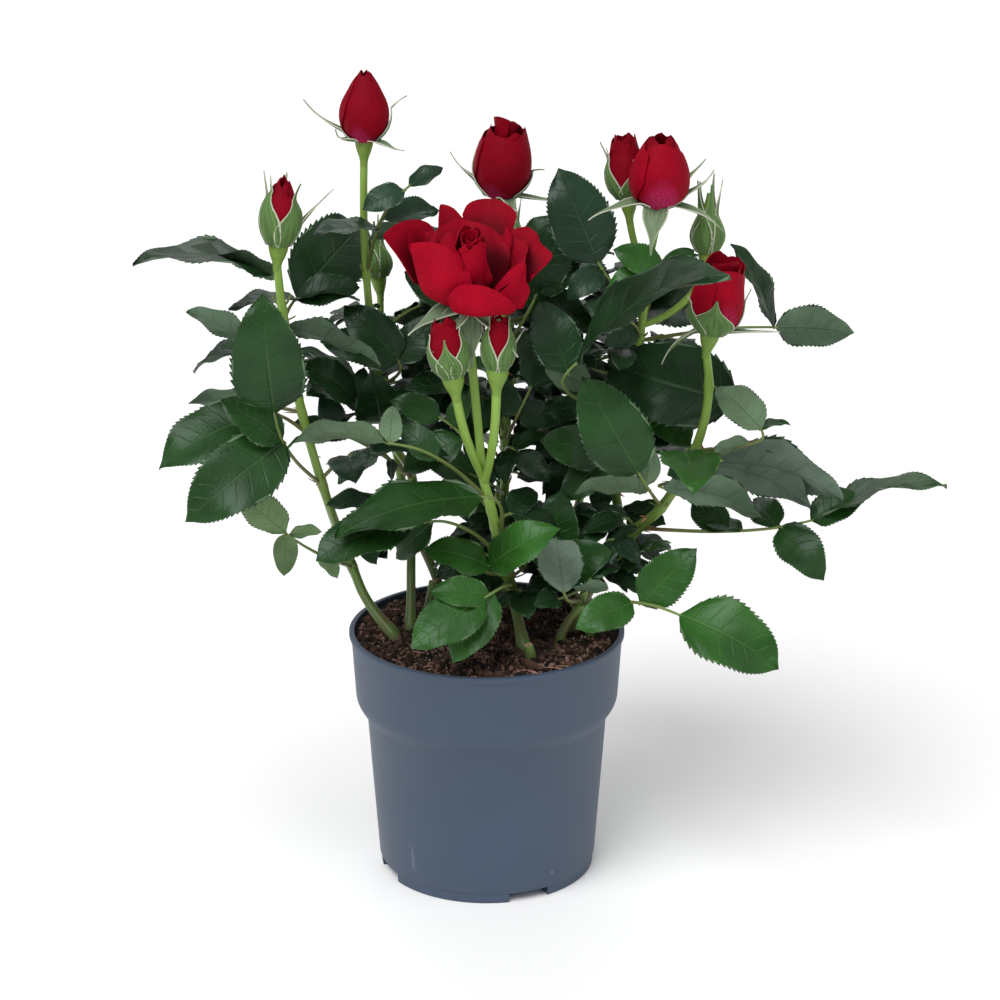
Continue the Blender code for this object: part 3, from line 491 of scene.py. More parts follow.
def growPiece(name, base, tree, settings):
    piece = addObject(name, base.copy())
    modifier = piece.modifiers.new(name, "NODES")
    modifier.node_group = tree
    for item in tree.interface.items_tree:
        if item.in_out == "INPUT" and item.name in settings:
            modifier[item.identifier] = settings[item.name]
    plainMesh(piece)
    finishPiece(piece, ())


def strewTree(name, settings, makeShape, material, flat):
    tree, given, points = newTree(name, settings)
    size = addRandom(tree, (0.55, 0.55, 0.45), (1.15, 1.15, 0.85), given["seed"])
    amount = addRandom(tree, given["smallest"], given["largest"])
    scale = addNode(tree, "ShaderNodeVectorMath", {0: size, "Scale": amount}, operation="SCALE").outputs[0]
    tip = 0.35 if flat else pi
    turn = addRandom(tree, (-tip, -tip, -pi), (tip, tip, pi), given["seed"])
    endTree(tree, points, makeShape(tree), turn, scale, material)
    return tree


def lumpShape(tree):  # a small rough ball
    ball = addNode(tree, "GeometryNodeMeshIcoSphere", {"Radius": 1.0, "Subdivisions": 1})
    return ball.outputs[0]


def fibreShape(tree):  # a thin bent strand, one unit long
    values = {"Resolution": 5, "Start": (-0.5, 0, 0), "Middle": (0.05, 0.22, 0.10), "End": (0.5, -0.06, 0.02)}
    line = addNode(tree, "GeometryNodeCurveQuadraticBezier", values).outputs[0]
    ring = addNode(tree, "GeometryNodeCurvePrimitiveCircle", {"Resolution": 4, "Radius": 0.032}).outputs[0]
    values = {"Curve": line, "Profile Curve": ring, "Fill Caps": True}
    return addNode(tree, "GeometryNodeCurveToMesh", values).outputs[0]


def soilTop():  # the open top face only, for what is strewn on it
    edge = innerRadius(soil["edgeHeight"]) - soil["clear"] - soil["topInset"]
    rings, segments = soil["topRings"], soil["topSegments"]
    verts = []
    for i in range(rings + 1):
        for turn in turnsOf(segments):
            x = edge * i / rings * cos(turn)
            y = edge * i / rings * sin(turn)
            verts.append(Vector((x, y, soilHeight(x, y))))
    faces = ringFaces(rings + 1, segments, False)
    return newMesh("soil_top", verts, [face[:1] + face[:0:-1] for face in faces])


def buildSoil():
    clear = soil["clear"]
    edge = innerRadius(soil["edgeHeight"]) - clear
    rail = pot["rail"] - clear
    profile = [(0, pot["base"] + clear), (rail, pot["base"] + clear), (rail, pot["railHeight"] + clear)]
    for key, raised in (("railHeight", clear), ("shoulderHeight", 0.2), ("collarFootHeight", 0.2)):
        profile.append((innerRadius(pot[key]) - clear, pot[key] + raised))
    profile.append((edge, soil["edgeHeight"] - soil["bodyDrop"]))
    below = 1 + (len(profile) - 1) * soil["segments"]
    profile += [(edge * (1 - i / soil["rings"]), soil["top"]) for i in range(soil["rings"] + 1)]
    mesh = turnedMesh("soil_bed", profile, soil["segments"])
    for vertex in mesh.vertices[below:]:
        vertex.co.z = soilHeight(vertex.co.x / unit, vertex.co.y / unit) * unit
    mesh.materials.append(soilMaterial())
    mesh.shade_smooth()
    mesh.calc_loop_triangles()
    finishPiece(addObject("soil_bed", mesh), ["soil"])
    top = soilTop()
    for name, kind in soil["strewn"].items():
        fibres = name == "peat_fibres"
        shape = fibreShape if fibres else lumpShape
        tree = strewTree(name, kind, shape, simpleMaterial(*kind["look"]), fibres)
        growPiece(name, top, tree, kind)


# Limbs: the canes and cut stubs, each with its foot on the soil, tip, bow half way and radii

Cane = namedtuple("Cane", "foot tip bow radii")
caneHabit = {"flare": 1.35, "flareHeight": 7.0, "rings": 5, "sides": 7, "soilTop": soil["top"] + gap}
canes = {
    "cane_left": Cane((-34.5, -10), (-50, 4, 116), (-2, 0, 0), (2.0, 1.8)),
    "cane_tall_left": Cane((-29, -2), (-29, 20, 131), (0, 0, 0), (1.9, 1.6)),
    "cane_centre": Cane((14, -23), (10.5, -12, 110), (0, 0, 0), (2.2, 2.0)),
    "cane_right": Cane((33, -3), (46.5, -1, 123), (-1, 0, 2), (2.2, 2.0)),
    "cane_low_right": Cane((27, -15), (33, -14, 107), (0, 0, 1), (1.6, 1.4)),
    "cane_right_back": Cane((36, 18), (44, 24, 114), (0, 0, 1), (1.9, 1.7)),
    "cane_centre_back": Cane((8, 18), (7, 26, 113), (0, 0, 0), (1.9, 1.7)),
    "cane_back_left": Cane((-17, 29), (-27, 38, 118), (0, 0, 2), (1.9, 1.7)),
    "cane_back": Cane((3, 35), (4, 45, 121), (0, 0, 2), (1.9, 1.7)),
    "cane_back_right": Cane((21, 31), (30, 41, 118), (0, 0, 2), (1.9, 1.7)),
    "stub_left": Cane((-23, 13), (-21, 15, 109), (0, 0, 0), (1.6, 1.5)),
    "stub_middle": Cane((16.5, -31), (15.5, -31.5, 101), (0, 0, 0), (1.7, 1.5)),
    "stub_right": Cane((39, -8), (42, -9, 104), (0, 0, 0), (1.6, 1.5)),
}

# Shoots: each goes on from a cane's tip, and its end is its first flower's foot.
# A leaf's stalk and its end leaflet are each (yaw, lift, length), and its face how far it tips forward.
# Its side leaflets are a count of pairs, or each is (station on the stalk, yaw, lift, length, face).
# A flower's lean is how far its axis tips along X and Y for each unit that it rises.

Flower = namedtuple("Flower", "kind station foot bow lean height width spread")
Leaf = namedtuple("Leaf", "station stalk blade sides face tint", defaults=(None,))
Shoot = namedtuple("Shoot", "cane end bow radii flowers leaves ruleLeaves turn")
shoots = {
    "shoot_left": Shoot(
        "cane_left", (-74, -24, 242.5), (-4.5, 0, 0), (1.8, 1.5),
        [Flower("bud", 1.0, None, None, (0.10, 0.0), 24, 15.5, 14)],
        [
            Leaf(0.02, (-130, 33, 43), (-160, 43, 25),
                 ((0.97, -101, -74, 16, -85), (0.93, 23, 2, 13, -60), (0.45, 11, -56, 12, -60)), -75,
                 "fresh"),
            Leaf(0.30, (-118, 49, 48), (-102, 77, 47),
                 ((0.62, -150, -30, 46, 63), (0.66, -167, 38, 27, 50), (0.6, 150, -60, 22, 50)), 80, "mid"),
            Leaf(0.47, (-156, 26, 22), (-160, -22, 41), 0, 35, "mid"),
            Leaf(0.54, (163, 4, 21), (-177, 5, 23), 0, -50),
            Leaf(0.59, (-174, 51, 25), (175, 31, 28),
                 ((0.95, -148, 12, 15, -50), (0.85, 159, -17, 30, 10)), -42),
            Leaf(0.74, (99, 77, 8), (-14, -15, 38), 0, -38),
            Leaf(0.83, (80, 12, 20), (56, 27, 47),
                 ((0.92, 2, 12, 24, 40), (0.85, 0, 3, 24, -8), (0.9, -174, -4, 25, 4)), 75, "dark"),
            Leaf(0.87, (126, 54, 13), (-166, 11, 50), ((0.7, -167, 25, 27, -35),), 6, "dark"),
        ],
        2, 340),
    "shoot_tall_left": Shoot(
        "cane_tall_left", (-44, 2, 275), (-5.5, 0, 0), (1.6, 1.4),
        [Flower("bud", 1.0, None, None, (0.03, 0.0), 27.5, 17.5, 50)],
        [
            Leaf(0.12, (-136, 34, 49), (-162, 21, 15),
                 ((0.97, 12, 37, 12, 5), (0.93, 147, 69, 17, 35), (0.42, -153, -28, 20, -60),
                  (0.3, 56, -74, 10, 20)), 35),
            Leaf(0.25, (-123, 43, 29), (-158, 38, 28),
                 ((0.95, 56, 70, 13, 60), (0.3, -98, 56, 29, 60), (0.3, -14, 29, 28, 60)), 40, "dark"),
            Leaf(0.06, (-109, 15, 32), (-163, 7, 22), 0, 12, "grey"),
            Leaf(0.39, (-54, 47, 18), (177, 47, 29),
                 ((0.95, -177, 17, 30, 45), (0.9, 18, 50, 23, 55)), 60, "dark"),
            Leaf(0.70, (-34, 60, 41), (10, 29, 14),
                 ((0.9, -166, -20, 17, 50), (0.4, -155, 1, 27, 8), (0.5, 25, 6, 23, 38)), 30, "grey"),
        ],
        3, 260),
    "shoot_centre": Shoot(
        "cane_centre", (-1.5, -25, 166), (0, 0, 0), (2.0, 1.7),
        [
            Flower("bloom", 0.985, (-6.3, -30, 222), (0, 3, 0), (0.03, -0.34), 37, 60, 78),
            Flower("bud", 0.955, (-10.5, -41, 199), (-1, -3, 0), (-0.16, 0.0), 23, 15, 16),
            Flower("bud", 0.925, (3.8, -40, 201), (1, -4, 0), (0.04, 0.0), 21, 12.5, 16),
        ],
        [
            Leaf(0.10, (-106, 14, 38), (-152, -24, 33),
                 ((0.9, -168, 8, 22, 50), (0.8, -136, -46, 30, 55)), 50, "fresh"),
            Leaf(0.22, (-111, 27, 20), (-18, 35, 32),
                 ((0.97, -170, 21, 26, 36), (0.85, -17, -26, 20, 45)), 42, "fresh"),
            Leaf(0.45, (-110, 50, 33), (-159, -6, 56), 0, 13, "mid"),
            Leaf(0.34, (-139, 29, 48), (-161, -12, 39), ((0.8, 163, -45, 22, 40),), 22, "mid"),
            Leaf(0.79, (-149, 34, 51), (-170, 5, 36),
                 ((0.97, 78, 66, 14, -70), (0.5, 154, 37, 19, 50)), -33),
            Leaf(0.72, (147, 54, 39), (-170, 24, 20),
                 ((0.8, 40, 56, 14, 60), (0.6, -175, -26, 26, 45)), 50, "mid"),
        ],
        2, 60),
    "shoot_right": Shoot(
        "cane_right", (79, -24, 210.5), (12.5, 0, 0), (2.0, 1.5),
        [Flower("bud", 1.0, None, None, (0.17, 0.0), 30, 19, 42)],
        [
            Leaf(0.14, (-11, 7, 69), (-3, 20, 48),
                 ((0.93, 9, 24, 23, 45), (0.7, 112, 14, 22, 60), (0.72, -51, -32, 27, 62),
                  (0.42, 128, 17, 22, 60), (0.5, 153, 2, 17, 15)), -6, "mid"),
            Leaf(0.39, (-114, 8, 16), (-9, -11, 38), 0, -52),
            Leaf(0.27, (-116, 41, 31), (-163, 60, 43),
                 ((0.55, -177, 2, 28, -48), (0.68, -21, 83, 15, -72)), 80, "mid"),
            Leaf(0.45, (11, 8, 7), (-13, -14, 54), ((0.9, -6, -24, 44, -55),), -44),
            Leaf(0.54, (-33, 26, 30), (-170, 45, 25),
                 ((0.95, 18, 7, 12, 3), (0.5, 175, -21, 16, -55)), -72),
            Leaf(0.47, (-56, 19, 22), (-170, -14, 19), 0, 50, "dark"),
            Leaf(0.85, (53, -28, 23), (160, 10, 54), 0, 70, "dark"),
        ],
        3, 60),
    "shoot_low_right": Shoot(
        "cane_low_right", (41, -12, 132), (1, 0, 0), (1.3, 1.0),
        [],
        [
            Leaf(0.14, (-39, 8, 46), (-19, -22, 41),
                 ((0.55, -7, 48, 30, 65), (0.47, -149, -11, 25, 55)), 44, "fresh"),
            Leaf(0.80, (179, -12, 18), (-22, 80, 33), ((0.75, -28, 29, 29, 55),), 70, "mid"),
            Leaf(0.69, (-72, -17, 14), (-144, 20, 17), 0, -50),
            Leaf(0.20, (-113, 15, 21), (-105, 60, 30), 0, -70),
        ],
        2, 95),
    "shoot_right_back": Shoot(
        "cane_right_back", (59.5, 8, 236), (2, 0, 0), (1.7, 1.4),
        [
            Flower("bud", 0.985, (62, 2, 251.5), (0, 0, 0), (0.02, -0.08), 29, 21, 68),
            Flower("bud", 0.96, (52.5, 11, 252), (-1, 1, 0), (-0.08, 0.02), 23, 15.5, 30),
            Flower("green", 0.80, (81, 8, 233), (2, 0, -3), (0.0, 0.0), 26, 13, 6),
        ],
        [
            Leaf(0.50, (-112, 32, 67), (-25, 37, 67), ((0.8, 138, 62, 29, 60),), 18, "dark"),
            Leaf(0.75, (-5, 7, 51), (-8, -1, 29), ((0.97, 157, 63, 35, -1),), -80),
            Leaf(0.87, (-155, 42, 26), (164, 66, 38), ((0.85, -149, -31, 18, 60),), 75, "grey"),
            Leaf(0.91, (-64, 55, 15), (-173, 32, 20),
                 ((0.8, 18, 39, 15, 70), (0.7, -163, -3, 23, 50)), 60, "fresh"),
            Leaf(0.32, (-110, 27, 27), (-156, 21, 27),
                 ((0.8, -154, -34, 24, 60), (0.6, 142, 46, 19, 60)), 60, "mid"),
            Leaf(0.45, (-119, 37, 41), (-166, 35, 21), 0, -70),
            Leaf(0.76, (-119, 25, 17), (-158, 18, 18), 2, 60, "dark"),
            Leaf(0.42, (-151, 36, 29), (-164, 48, 23), 2, 60, "dark"),
        ],
        3, 80),
    "shoot_centre_back": Shoot(
        "cane_centre_back", (4.3, 21, 251), (1, 0, 0), (1.7, 1.4),
        [Flower("half", 1.0, None, None, (0.10, -0.03), 30, 20.5, 60)],
        [
            Leaf(0.50, (-141, 57, 46), (167, 33, 22),
                 ((0.8, -151, -28, 19, 60), (0.6, 154, 66, 27, 60)), 55, "dark"),
            Leaf(0.62, (-48, 55, 35), (-25, 70, 28),
                 ((0.9, -10, 37, 20, 60), (0.8, -123, 69, 19, 60)), 70, "dark"),
            Leaf(0.87, (-45, 38, 14), (-8, 37, 19), 0, 38, "dark"),
            Leaf(0.36, (-55, 44, 31), (37, 52, 28), 2, 60, "dark"),
            Leaf(0.20, (-118, 30, 32), (-162, 29, 23), 2, 55, "mid"),
            Leaf(0.27, (-78, 32, 28), (-41, -29, 18), 2, 60, "dark"),
        ],
        4, 100),
    "shoot_back_left": Shoot(
        "cane_back_left", (-41, 48, 214), (-4, 3, 0), (1.7, 1.3),
        [Flower("green", 1.0, None, None, (-0.1, 0.15), 22, 12, 8)],
        [],
        8, 100),
    "shoot_back": Shoot(
        "cane_back", (9, 58, 221), (2, 3, 0), (1.7, 1.3),
        [Flower("green", 1.0, None, None, (0.0, 0.15), 22, 12, 8)],
        [],
        8, 30),
    "shoot_back_right": Shoot(
        "cane_back_right", (50, 48, 206), (4, 3, 0), (1.7, 1.3),
        [],
        [],
        8, 70),
}

stemHabit = {"sides": 5, "rings": 9, "branchRings": 5, "gap": gap + 0.05}


def caneLine(cane):
    foot = Vector((*cane.foot, caneHabit["soilTop"]))
    rings = caneHabit["rings"]
    points = bowed(foot, Vector(cane.tip), Vector(cane.bow), rings)
    radii = []
    for point, t in zip(points, steps(rings)):
        flare = max(0.0, 1 - (point.z - foot.z) / caneHabit["flareHeight"])
        radii.append(blend(*cane.radii, t) * (1 + (caneHabit["flare"] - 1) * flare))
    return points, radii


def shootLine(shoot):  # the stem's points and radii, from a hair above its cane's tip
    canePoints, _ = caneLine(canes[shoot.cane])
    onward = tangents(canePoints)[-1]
    start = canePoints[-1] + onward * stemHabit["gap"]
    rings = stemHabit["rings"]
    stem = bowed(start, Vector(shoot.end), Vector(shoot.bow), rings)
    stem[1] = start + onward * (stem[1] - start).length
    return stem, [blend(*shoot.radii, t) for t in steps(rings)]


def stalkLine(flower, stem):  # where a flower's own stalk runs, or none where it ends the stem
    if not flower.foot:
        return []
    start = alongLine(stem, flower.station)
    return bowed(start, Vector(flower.foot), Vector(flower.bow), stemHabit["branchRings"])


# The rule of growth: each leaf is set where its stalk and leaflets stay clear of what stands already.
# Plain blades and turned forms stand in for the fine ones while the places are chosen.

flowerRoom = {
    "hipRadius": 3.7, "hipHeight": 8.0, "hipSink": 1.5, "hipOutline": ((0.35, 0.80), (0.72, 1.0)),
    "budSides": 8, "bloomSides": 10, "sepalLength": 26.0, "sepalWidth": 5.6,
    "fold": radians(6), "curl": radians(14), "closedCurl": radians(46),
    "closedSpread": 25, "closedFlare": 0.22, "turn": 0.3, "seat": 0.6, "sink": 0.8, "swing": 12, "step": 2.3,
    "bud": ((0, 0.42), (0.20, 0.90), (0.48, 1.0), (0.78, 0.66), (0.98, 0.16), (1.0, 0)),
    "bloom": ((0, 0.18), (0.20, 0.50), (0.42, 0.84), (0.70, 1.0), (0.76, 0.97), (0.68, 0.62),
              (0.90, 0.52), (0.98, 0.26), (1.0, 0)),
    "petals": 5, "lobeStart": 0.7, "lobeDepth": 0.07,
}

leafRoom = {
    "width": 0.58, "thickness": 0.018, "leastThickness": 0.5,
    "fold": radians(16), "curl": radians(34), "outline": ((0.24, 0.88), (0.64, 0.92)),
    "pairStations": {0: (), 1: (0.72,), 2: (0.80, 0.46)}, "pairScale": 0.80, "pairFall": 0.86,
    "pairAngle": radians(62), "pairDroop": 0.10, "pairSink": 0.3, "endSink": 0.8,
    "stalkRadii": (0.9, 0.8, 0.7, 0.6), "stalkSides": 3, "stalkBend": 0.35, "clearance": 0.7,
    "nudges": ((0, 0), (0, 12), (0, -12), (9, 0), (-9, 0), (12, 12), (-12, 12), (0, 26), (20, 0), (-20, 0),
               (0, 38), (32, 10), (-32, 10), (46, 0), (-46, 0)),
}

leafRule = {
    "seed": 105, "turn": 137.5, "turnSpread": 14, "stations": (0.12, 0.92), "reach": (16, 26),
    "lift": (14, 38), "size": (31, 42), "bladeLift": (-22, 18), "bladeTurn": 18, "taper": 0.25,
    "face": 38, "faceSpread": 16, "backVigour": 1.18,
    "crownCentre": (6, 4, 180), "crownReach": (94, 114, 86),
}

fill = {  # small leaves inside the crown; each zone has its middle, its reach, how many, and their size
    "seed": 311, "tries": 90, "reach": (8, 17), "lift": (-20, 55), "bladeLift": (-35, 30), "bladeTurn": 40,
    "face": (4, 52), "stations": (0.02, 0.94), "pairs": (1, 1, 2),
    "shares": (("dark", 0.66), ("mid", 0.22), ("grey", 0.12)),
    "zones": {
        "heart": ((26, 24, 188), (52, 34, 46), 34, (17, 28)),
        "behind": ((36, 32, 224), (34, 26, 24), 16, (18, 29)),
        "low": ((12, 0, 128), (58, 36, 20), 34, (14, 24)),
        "left": ((-44, 6, 196), (24, 30, 26), 7, (16, 24)),
        "lowLeft": ((-38, 8, 118), (16, 18, 14), 5, (11, 18)),
    },
}


def latheShape(foot, axis, profile, sides, lobes=0, lobeStart=inf):
    side = squareTo(Vector((1, 0.2, 0)), axis)
    other = axis.cross(side)
    verts = [foot + axis * profile[0][0]]
    for height, radius in profile[1:-1]:
        wave = flowerRoom["lobeDepth"] if radius > lobeStart else 0.0
        for turn in turnsOf(sides):
            reach = radius * (1 - wave + wave * cos(lobes * turn))
            verts.append(foot + axis * height + swung(side, other, turn) * reach)
    verts.append(foot + axis * profile[-1][0])
    top = len(verts) - 1
    faces = []
    last = 1 + (len(profile) - 3) * sides
    for k in range(sides):
        after = (k + 1) % sides
        faces.append((0, 1 + after, 1 + k))
        for a in range(1, last, sides):
            faces.append((a + k, a + after, a + sides + after, a + sides + k))
        faces.append((last + k, last + after, top))
    return verts, faces


def bladeShape(base, along, up, length, width, fold, curl, spare=0.0):
    thickness = max(leafRoom["leastThickness"], leafRoom["thickness"] * length) + spare
    side = along.cross(up)
    reach = length + spare
    arch = reach * 0.5 * sin(curl / 4)
    verts = [base, base + along * reach]
    for s, share in leafRoom["outline"]:
        bend = curl * (0.5 - s)
        normal = up * cos(bend) - along * sin(bend)
        middle = base + along * (s * reach) + up * (arch * sin(pi * s))
        half = width / 2 * share + spare
        raised = normal * (half * tan(fold))
        verts += [middle + normal * thickness / 2, middle + side * half + raised,
                  middle - normal * thickness / 2, middle - side * half + raised]
    faces = []
    last = len(verts) - 4
    for k in range(4):
        after = (k + 1) % 4
        faces.append((0, 2 + after, 2 + k))
        for first in range(2, last, 4):
            faces.append((first + k, first + after, first + 4 + after))
            faces.append((first + k, first + 4 + after, first + 4 + k))
        faces.append((last + k, last + after, 1))
    return verts, faces


def treeOf(shape):
    verts, faces = shape
    return BVHTree.FromPolygons([tuple(v) for v in verts], faces)


def isClear(shape, trees):
    tree = treeOf(shape)
    return not any(tree.overlap(other) for other in trees)


def flowerRoomShapes(flower, foot, radius):
    room = flowerRoom
    axis = Vector((*flower.lean, 1)).normalized()
    out = squareTo(Vector((0.35, -1, 0)), axis)
    across = axis.cross(out)
    half = flower.width / 2
    body = [(-room["hipSink"], 0), (-room["hipSink"] * 2 / 3, radius * 0.9)]
    body += [(up * room["hipHeight"], share * room["hipRadius"]) for up, share in room["hipOutline"]]
    opened = flower.kind == "bloom"
    outline = room["bloom"] if opened else room["bud"]
    body += [(room["hipHeight"] + share * flower.height, width * half) for share, width in outline]
    if opened:
        shapes = [latheShape(foot, axis, body, room["bloomSides"], room["petals"], half * room["lobeStart"])]
    else:
        shapes = [latheShape(foot, axis, body, room["budSides"])]
    seat = foot + axis * (room["hipHeight"] - room["seat"])
    for k in range(5):
        turn = 2 * pi * (k + room["turn"]) / 5
        outward = swung(out, across, turn)
        if flower.spread < room["closedSpread"]:
            root = seat + outward * (room["hipRadius"] / 2)
            along = (axis + outward * room["closedFlare"]).normalized()
            up = squareTo(outward, along)
            curl = room["closedCurl"]
        else:
            opening = radians(flower.spread + room["swing"] * sin(room["step"] * k))
            along = swung(axis, outward, opening)
            up = outward * cos(opening) - axis * sin(opening)
            root = seat + outward * (room["hipRadius"] / 3) - along * room["sink"]
            curl = room["curl"]
        sizes = room["sepalLength"], room["sepalWidth"], room["fold"]
        shapes.append(bladeShape(root, along, up, *sizes, curl))
    return shapes


def skyAt(face):  # the way a blade's upper side turns when it tips forward by so many degrees
    face = radians(face)
    return Vector((0, -sin(face), cos(face)))


def leafPlan(leaf, root, nudge):  # the stalk as a line, and each blade as base, heading, upper side, length
    turn, raised = nudge
    stalkYaw, stalkLift, reach = leaf.stalk
    bladeYaw, bladeLift, size = leaf.blade
    stalk = heading(stalkYaw + turn, stalkLift + raised)
    blade = heading(bladeYaw + turn, bladeLift + raised / 2)
    sky = skyAt(leaf.face)
    joint = root + stalk * reach
    control = joint - blade * (reach * leafRoom["stalkBend"])
    line = [root.lerp(control, t).lerp(control.lerp(joint, t), t) for t in steps(len(leafRoom["stalkRadii"]))]
    blades = [(joint - blade * leafRoom["endSink"], blade, squareTo(sky, blade), size)]
    if not isinstance(leaf.sides, int):
        for station, yaw, lift, length, tipped in leaf.sides:
            along = heading(yaw + turn, lift + raised / 2)
            place = alongLine(line, station) - along * leafRoom["pairSink"]
            blades.append((place, along, squareTo(skyAt(tipped), along), length))
        return line, blades
    ahead = (blade * 0.65 + stalk * 0.35).normalized()
    up = squareTo(sky, ahead)
    across = ahead.cross(up)
    angle = leafRoom["pairAngle"]
    for rank, station in enumerate(leafRoom["pairStations"][leaf.sides]):
        place = alongLine(line, station)
        for hand in (-1, 1):
            along = ahead * cos(angle) + across * (hand * sin(angle)) - up * leafRoom["pairDroop"]
            along.normalize()
            length = size * leafRoom["pairScale"] * leafRoom["pairFall"] ** rank
            blades.append((place - along * leafRoom["pairSink"], along, squareTo(up, along), length))
    return line, blades


def roomBlade(blade, spare=0.0):
    base, along, up, length = blade
    width = length * leafRoom["width"]
    return bladeShape(base, along, up, length, width, leafRoom["fold"], leafRoom["curl"], spare)


def placeLeaf(leaf, root, trees, stemTree, nudges):  # the leaf's stalk and the blades that find room, or none
    clearance = leafRoom["clearance"]
    for nudge in nudges:
        line, blades = leafPlan(leaf, root, nudge)
        wide = [radius + clearance for radius in leafRoom["stalkRadii"]]
        if not isClear(limbShape(line, wide, leafRoom["stalkSides"]), trees):
            continue
        if not isClear(roomBlade(blades[0], clearance), trees + [stemTree]):
            continue
        kept = [b for b in blades[1:] if isClear(roomBlade(b, clearance), trees + [stemTree])]
        return line, blades[:1] + kept
    return None


def within(point, centre, reach):  # whether a point lies in a rounded zone
    return sum(((a - b) / c) ** 2 for a, b, c in zip(point, centre, reach)) < 1


def ruleLeaf(shoot, index, dice):  # turned on from the last leaf, arching outwards
    low, high = leafRule["stations"]
    station = low + (high - low) * (index + 0.5) / shoot.ruleLeaves
    spread = leafRule["turnSpread"]
    yaw = shoot.turn + leafRule["turn"] * index + dice.uniform(-spread, spread)
    reach = dice.uniform(*leafRule["reach"])
    vigour = 1.0 if shoot.leaves else leafRule["backVigour"]
    size = vigour * dice.uniform(*leafRule["size"]) * (1 - leafRule["taper"] * abs(station - 0.45))
    stalk = (yaw, dice.uniform(*leafRule["lift"]), vigour * reach)
    turned = yaw + dice.uniform(-leafRule["bladeTurn"], leafRule["bladeTurn"])
    blade = (turned, dice.uniform(*leafRule["bladeLift"]), size)
    front = -sin(radians(yaw))
    face = leafRule["face"] * front + dice.uniform(-leafRule["faceSpread"], leafRule["faceSpread"])
    return Leaf(station, stalk, blade, 1 + index % 2, face)


def fillLeaf(size, dice):
    yaw = dice.uniform(0, 360)
    stalk = (yaw, dice.uniform(*fill["lift"]), dice.uniform(*fill["reach"]))
    turned = yaw + dice.uniform(-fill["bladeTurn"], fill["bladeTurn"])
    blade = (turned, dice.uniform(*fill["bladeLift"]), dice.uniform(*size))
    tone = pickTone(dice, fill["shares"])
    station = dice.uniform(*fill["stations"])
    return Leaf(station, stalk, blade, dice.choice(fill["pairs"]), dice.uniform(*fill["face"]), tone)


def growLeaves():  # every leaf that finds room, as (shoot's name, leaf, stalk line, blades)
    clearance = leafRoom["clearance"]
    potReach = pot["rimRadius"] + 2 * clearance
    potEnds = [Vector((0, 0, 0)), Vector((0, 0, pot["rimHeight"] + clearance))]
    fixed = [treeOf(limbShape(potEnds, (potReach, potReach), 32))]
    for cane in canes.values():
        points, radii = caneLine(cane)
        fixed.append(treeOf(limbShape(points, radii, caneHabit["sides"], flatFoot=True)))
    stems = {}
    trees = {}
    for name, shoot in shoots.items():
        points, radii = shootLine(shoot)
        shapes = [limbShape(points, radii, stemHabit["sides"])]
        for flower in shoot.flowers:
            stalk = stalkLine(flower, points)
            if stalk:
                shapes.append(limbShape(stalk, [shoot.radii[1]] * len(stalk), stemHabit["sides"]))
            shapes += flowerRoomShapes(flower, stalk[-1] if stalk else points[-1], shoot.radii[1])
        stems[name] = points
        trees[name] = [treeOf(shape) for shape in shapes]
    grown = []

    def grow(name, leaf, nudges=leafRoom["nudges"]):
        others = list(fixed)
        for other, placed in trees.items():
            others += placed[1:] if other == name else placed
        found = placeLeaf(leaf, alongLine(stems[name], leaf.station), others, trees[name][0], nudges)
        if found:
            line, blades = found
            trees[name].append(treeOf(limbShape(line, leafRoom["stalkRadii"], leafRoom["stalkSides"])))
            trees[name] += [treeOf(roomBlade(blade)) for blade in blades]
            grown.append((name, leaf, line, blades))
        return found

    def tip(name, leaf, share=1.0):  # where a leaf's end would reach, or a share of its blade's length
        joint = alongLine(stems[name], leaf.station) + heading(*leaf.stalk[:2]) * leaf.stalk[2]
        return joint + heading(*leaf.blade[:2]) * (leaf.blade[2] * share)

    for name, shoot in shoots.items():
        for leaf in shoot.leaves:
            grow(name, leaf)
    dice = random.Random(leafRule["seed"])
    for turn in range(max(shoot.ruleLeaves for shoot in shoots.values())):
        for name, shoot in shoots.items():
            if turn < shoot.ruleLeaves:
                leaf = ruleLeaf(shoot, turn, dice)
                if within(tip(name, leaf), leafRule["crownCentre"], leafRule["crownReach"]):
                    grow(name, leaf)
    dice = random.Random(fill["seed"])
    for centre, reach, count, size in fill["zones"].values():
        for _ in range(count * fill["tries"]):
            name = dice.choice(list(shoots))
            leaf = fillLeaf(size, dice)
            if within(tip(name, leaf, 0.5), centre, reach):
                count -= bool(grow(name, leaf, leafRoom["nudges"][:1]))
            if not count:
                break
    print("leaves", len(grown), "leaflets", sum(len(blades) for _, _, _, blades in grown))
    return grown, stems


# Bark: one smooth tapering tube for each cane with its stem, with ridges and joints, tubes for the flowers'
# stalks, and the cut stubs with their cut ends

bark = {
    "sides": 12, "ringStep": 2.2, "ridge": 0.035, "lump": 0.05, "joint": 0.22, "jointLength": 1.9,
    "low": (0.080, 0.135, 0.030), "high": (0.235, 0.395, 0.060), "flush": (0.150, 0.055, 0.030),
    "cut": (0.36, 0.30, 0.17), "pith": (0.20, 0.13, 0.06), "sink": 3.0, "flushShare": 0.75,
    "stubRise": (0.0, 0.35), "stalkRise": (0.8, 1.0), "stalkLump": 0.02, "stalkTaper": (0.9, 1.0),
    "disc": ((0.02, 0.97), (0.35, 0.82)),
}


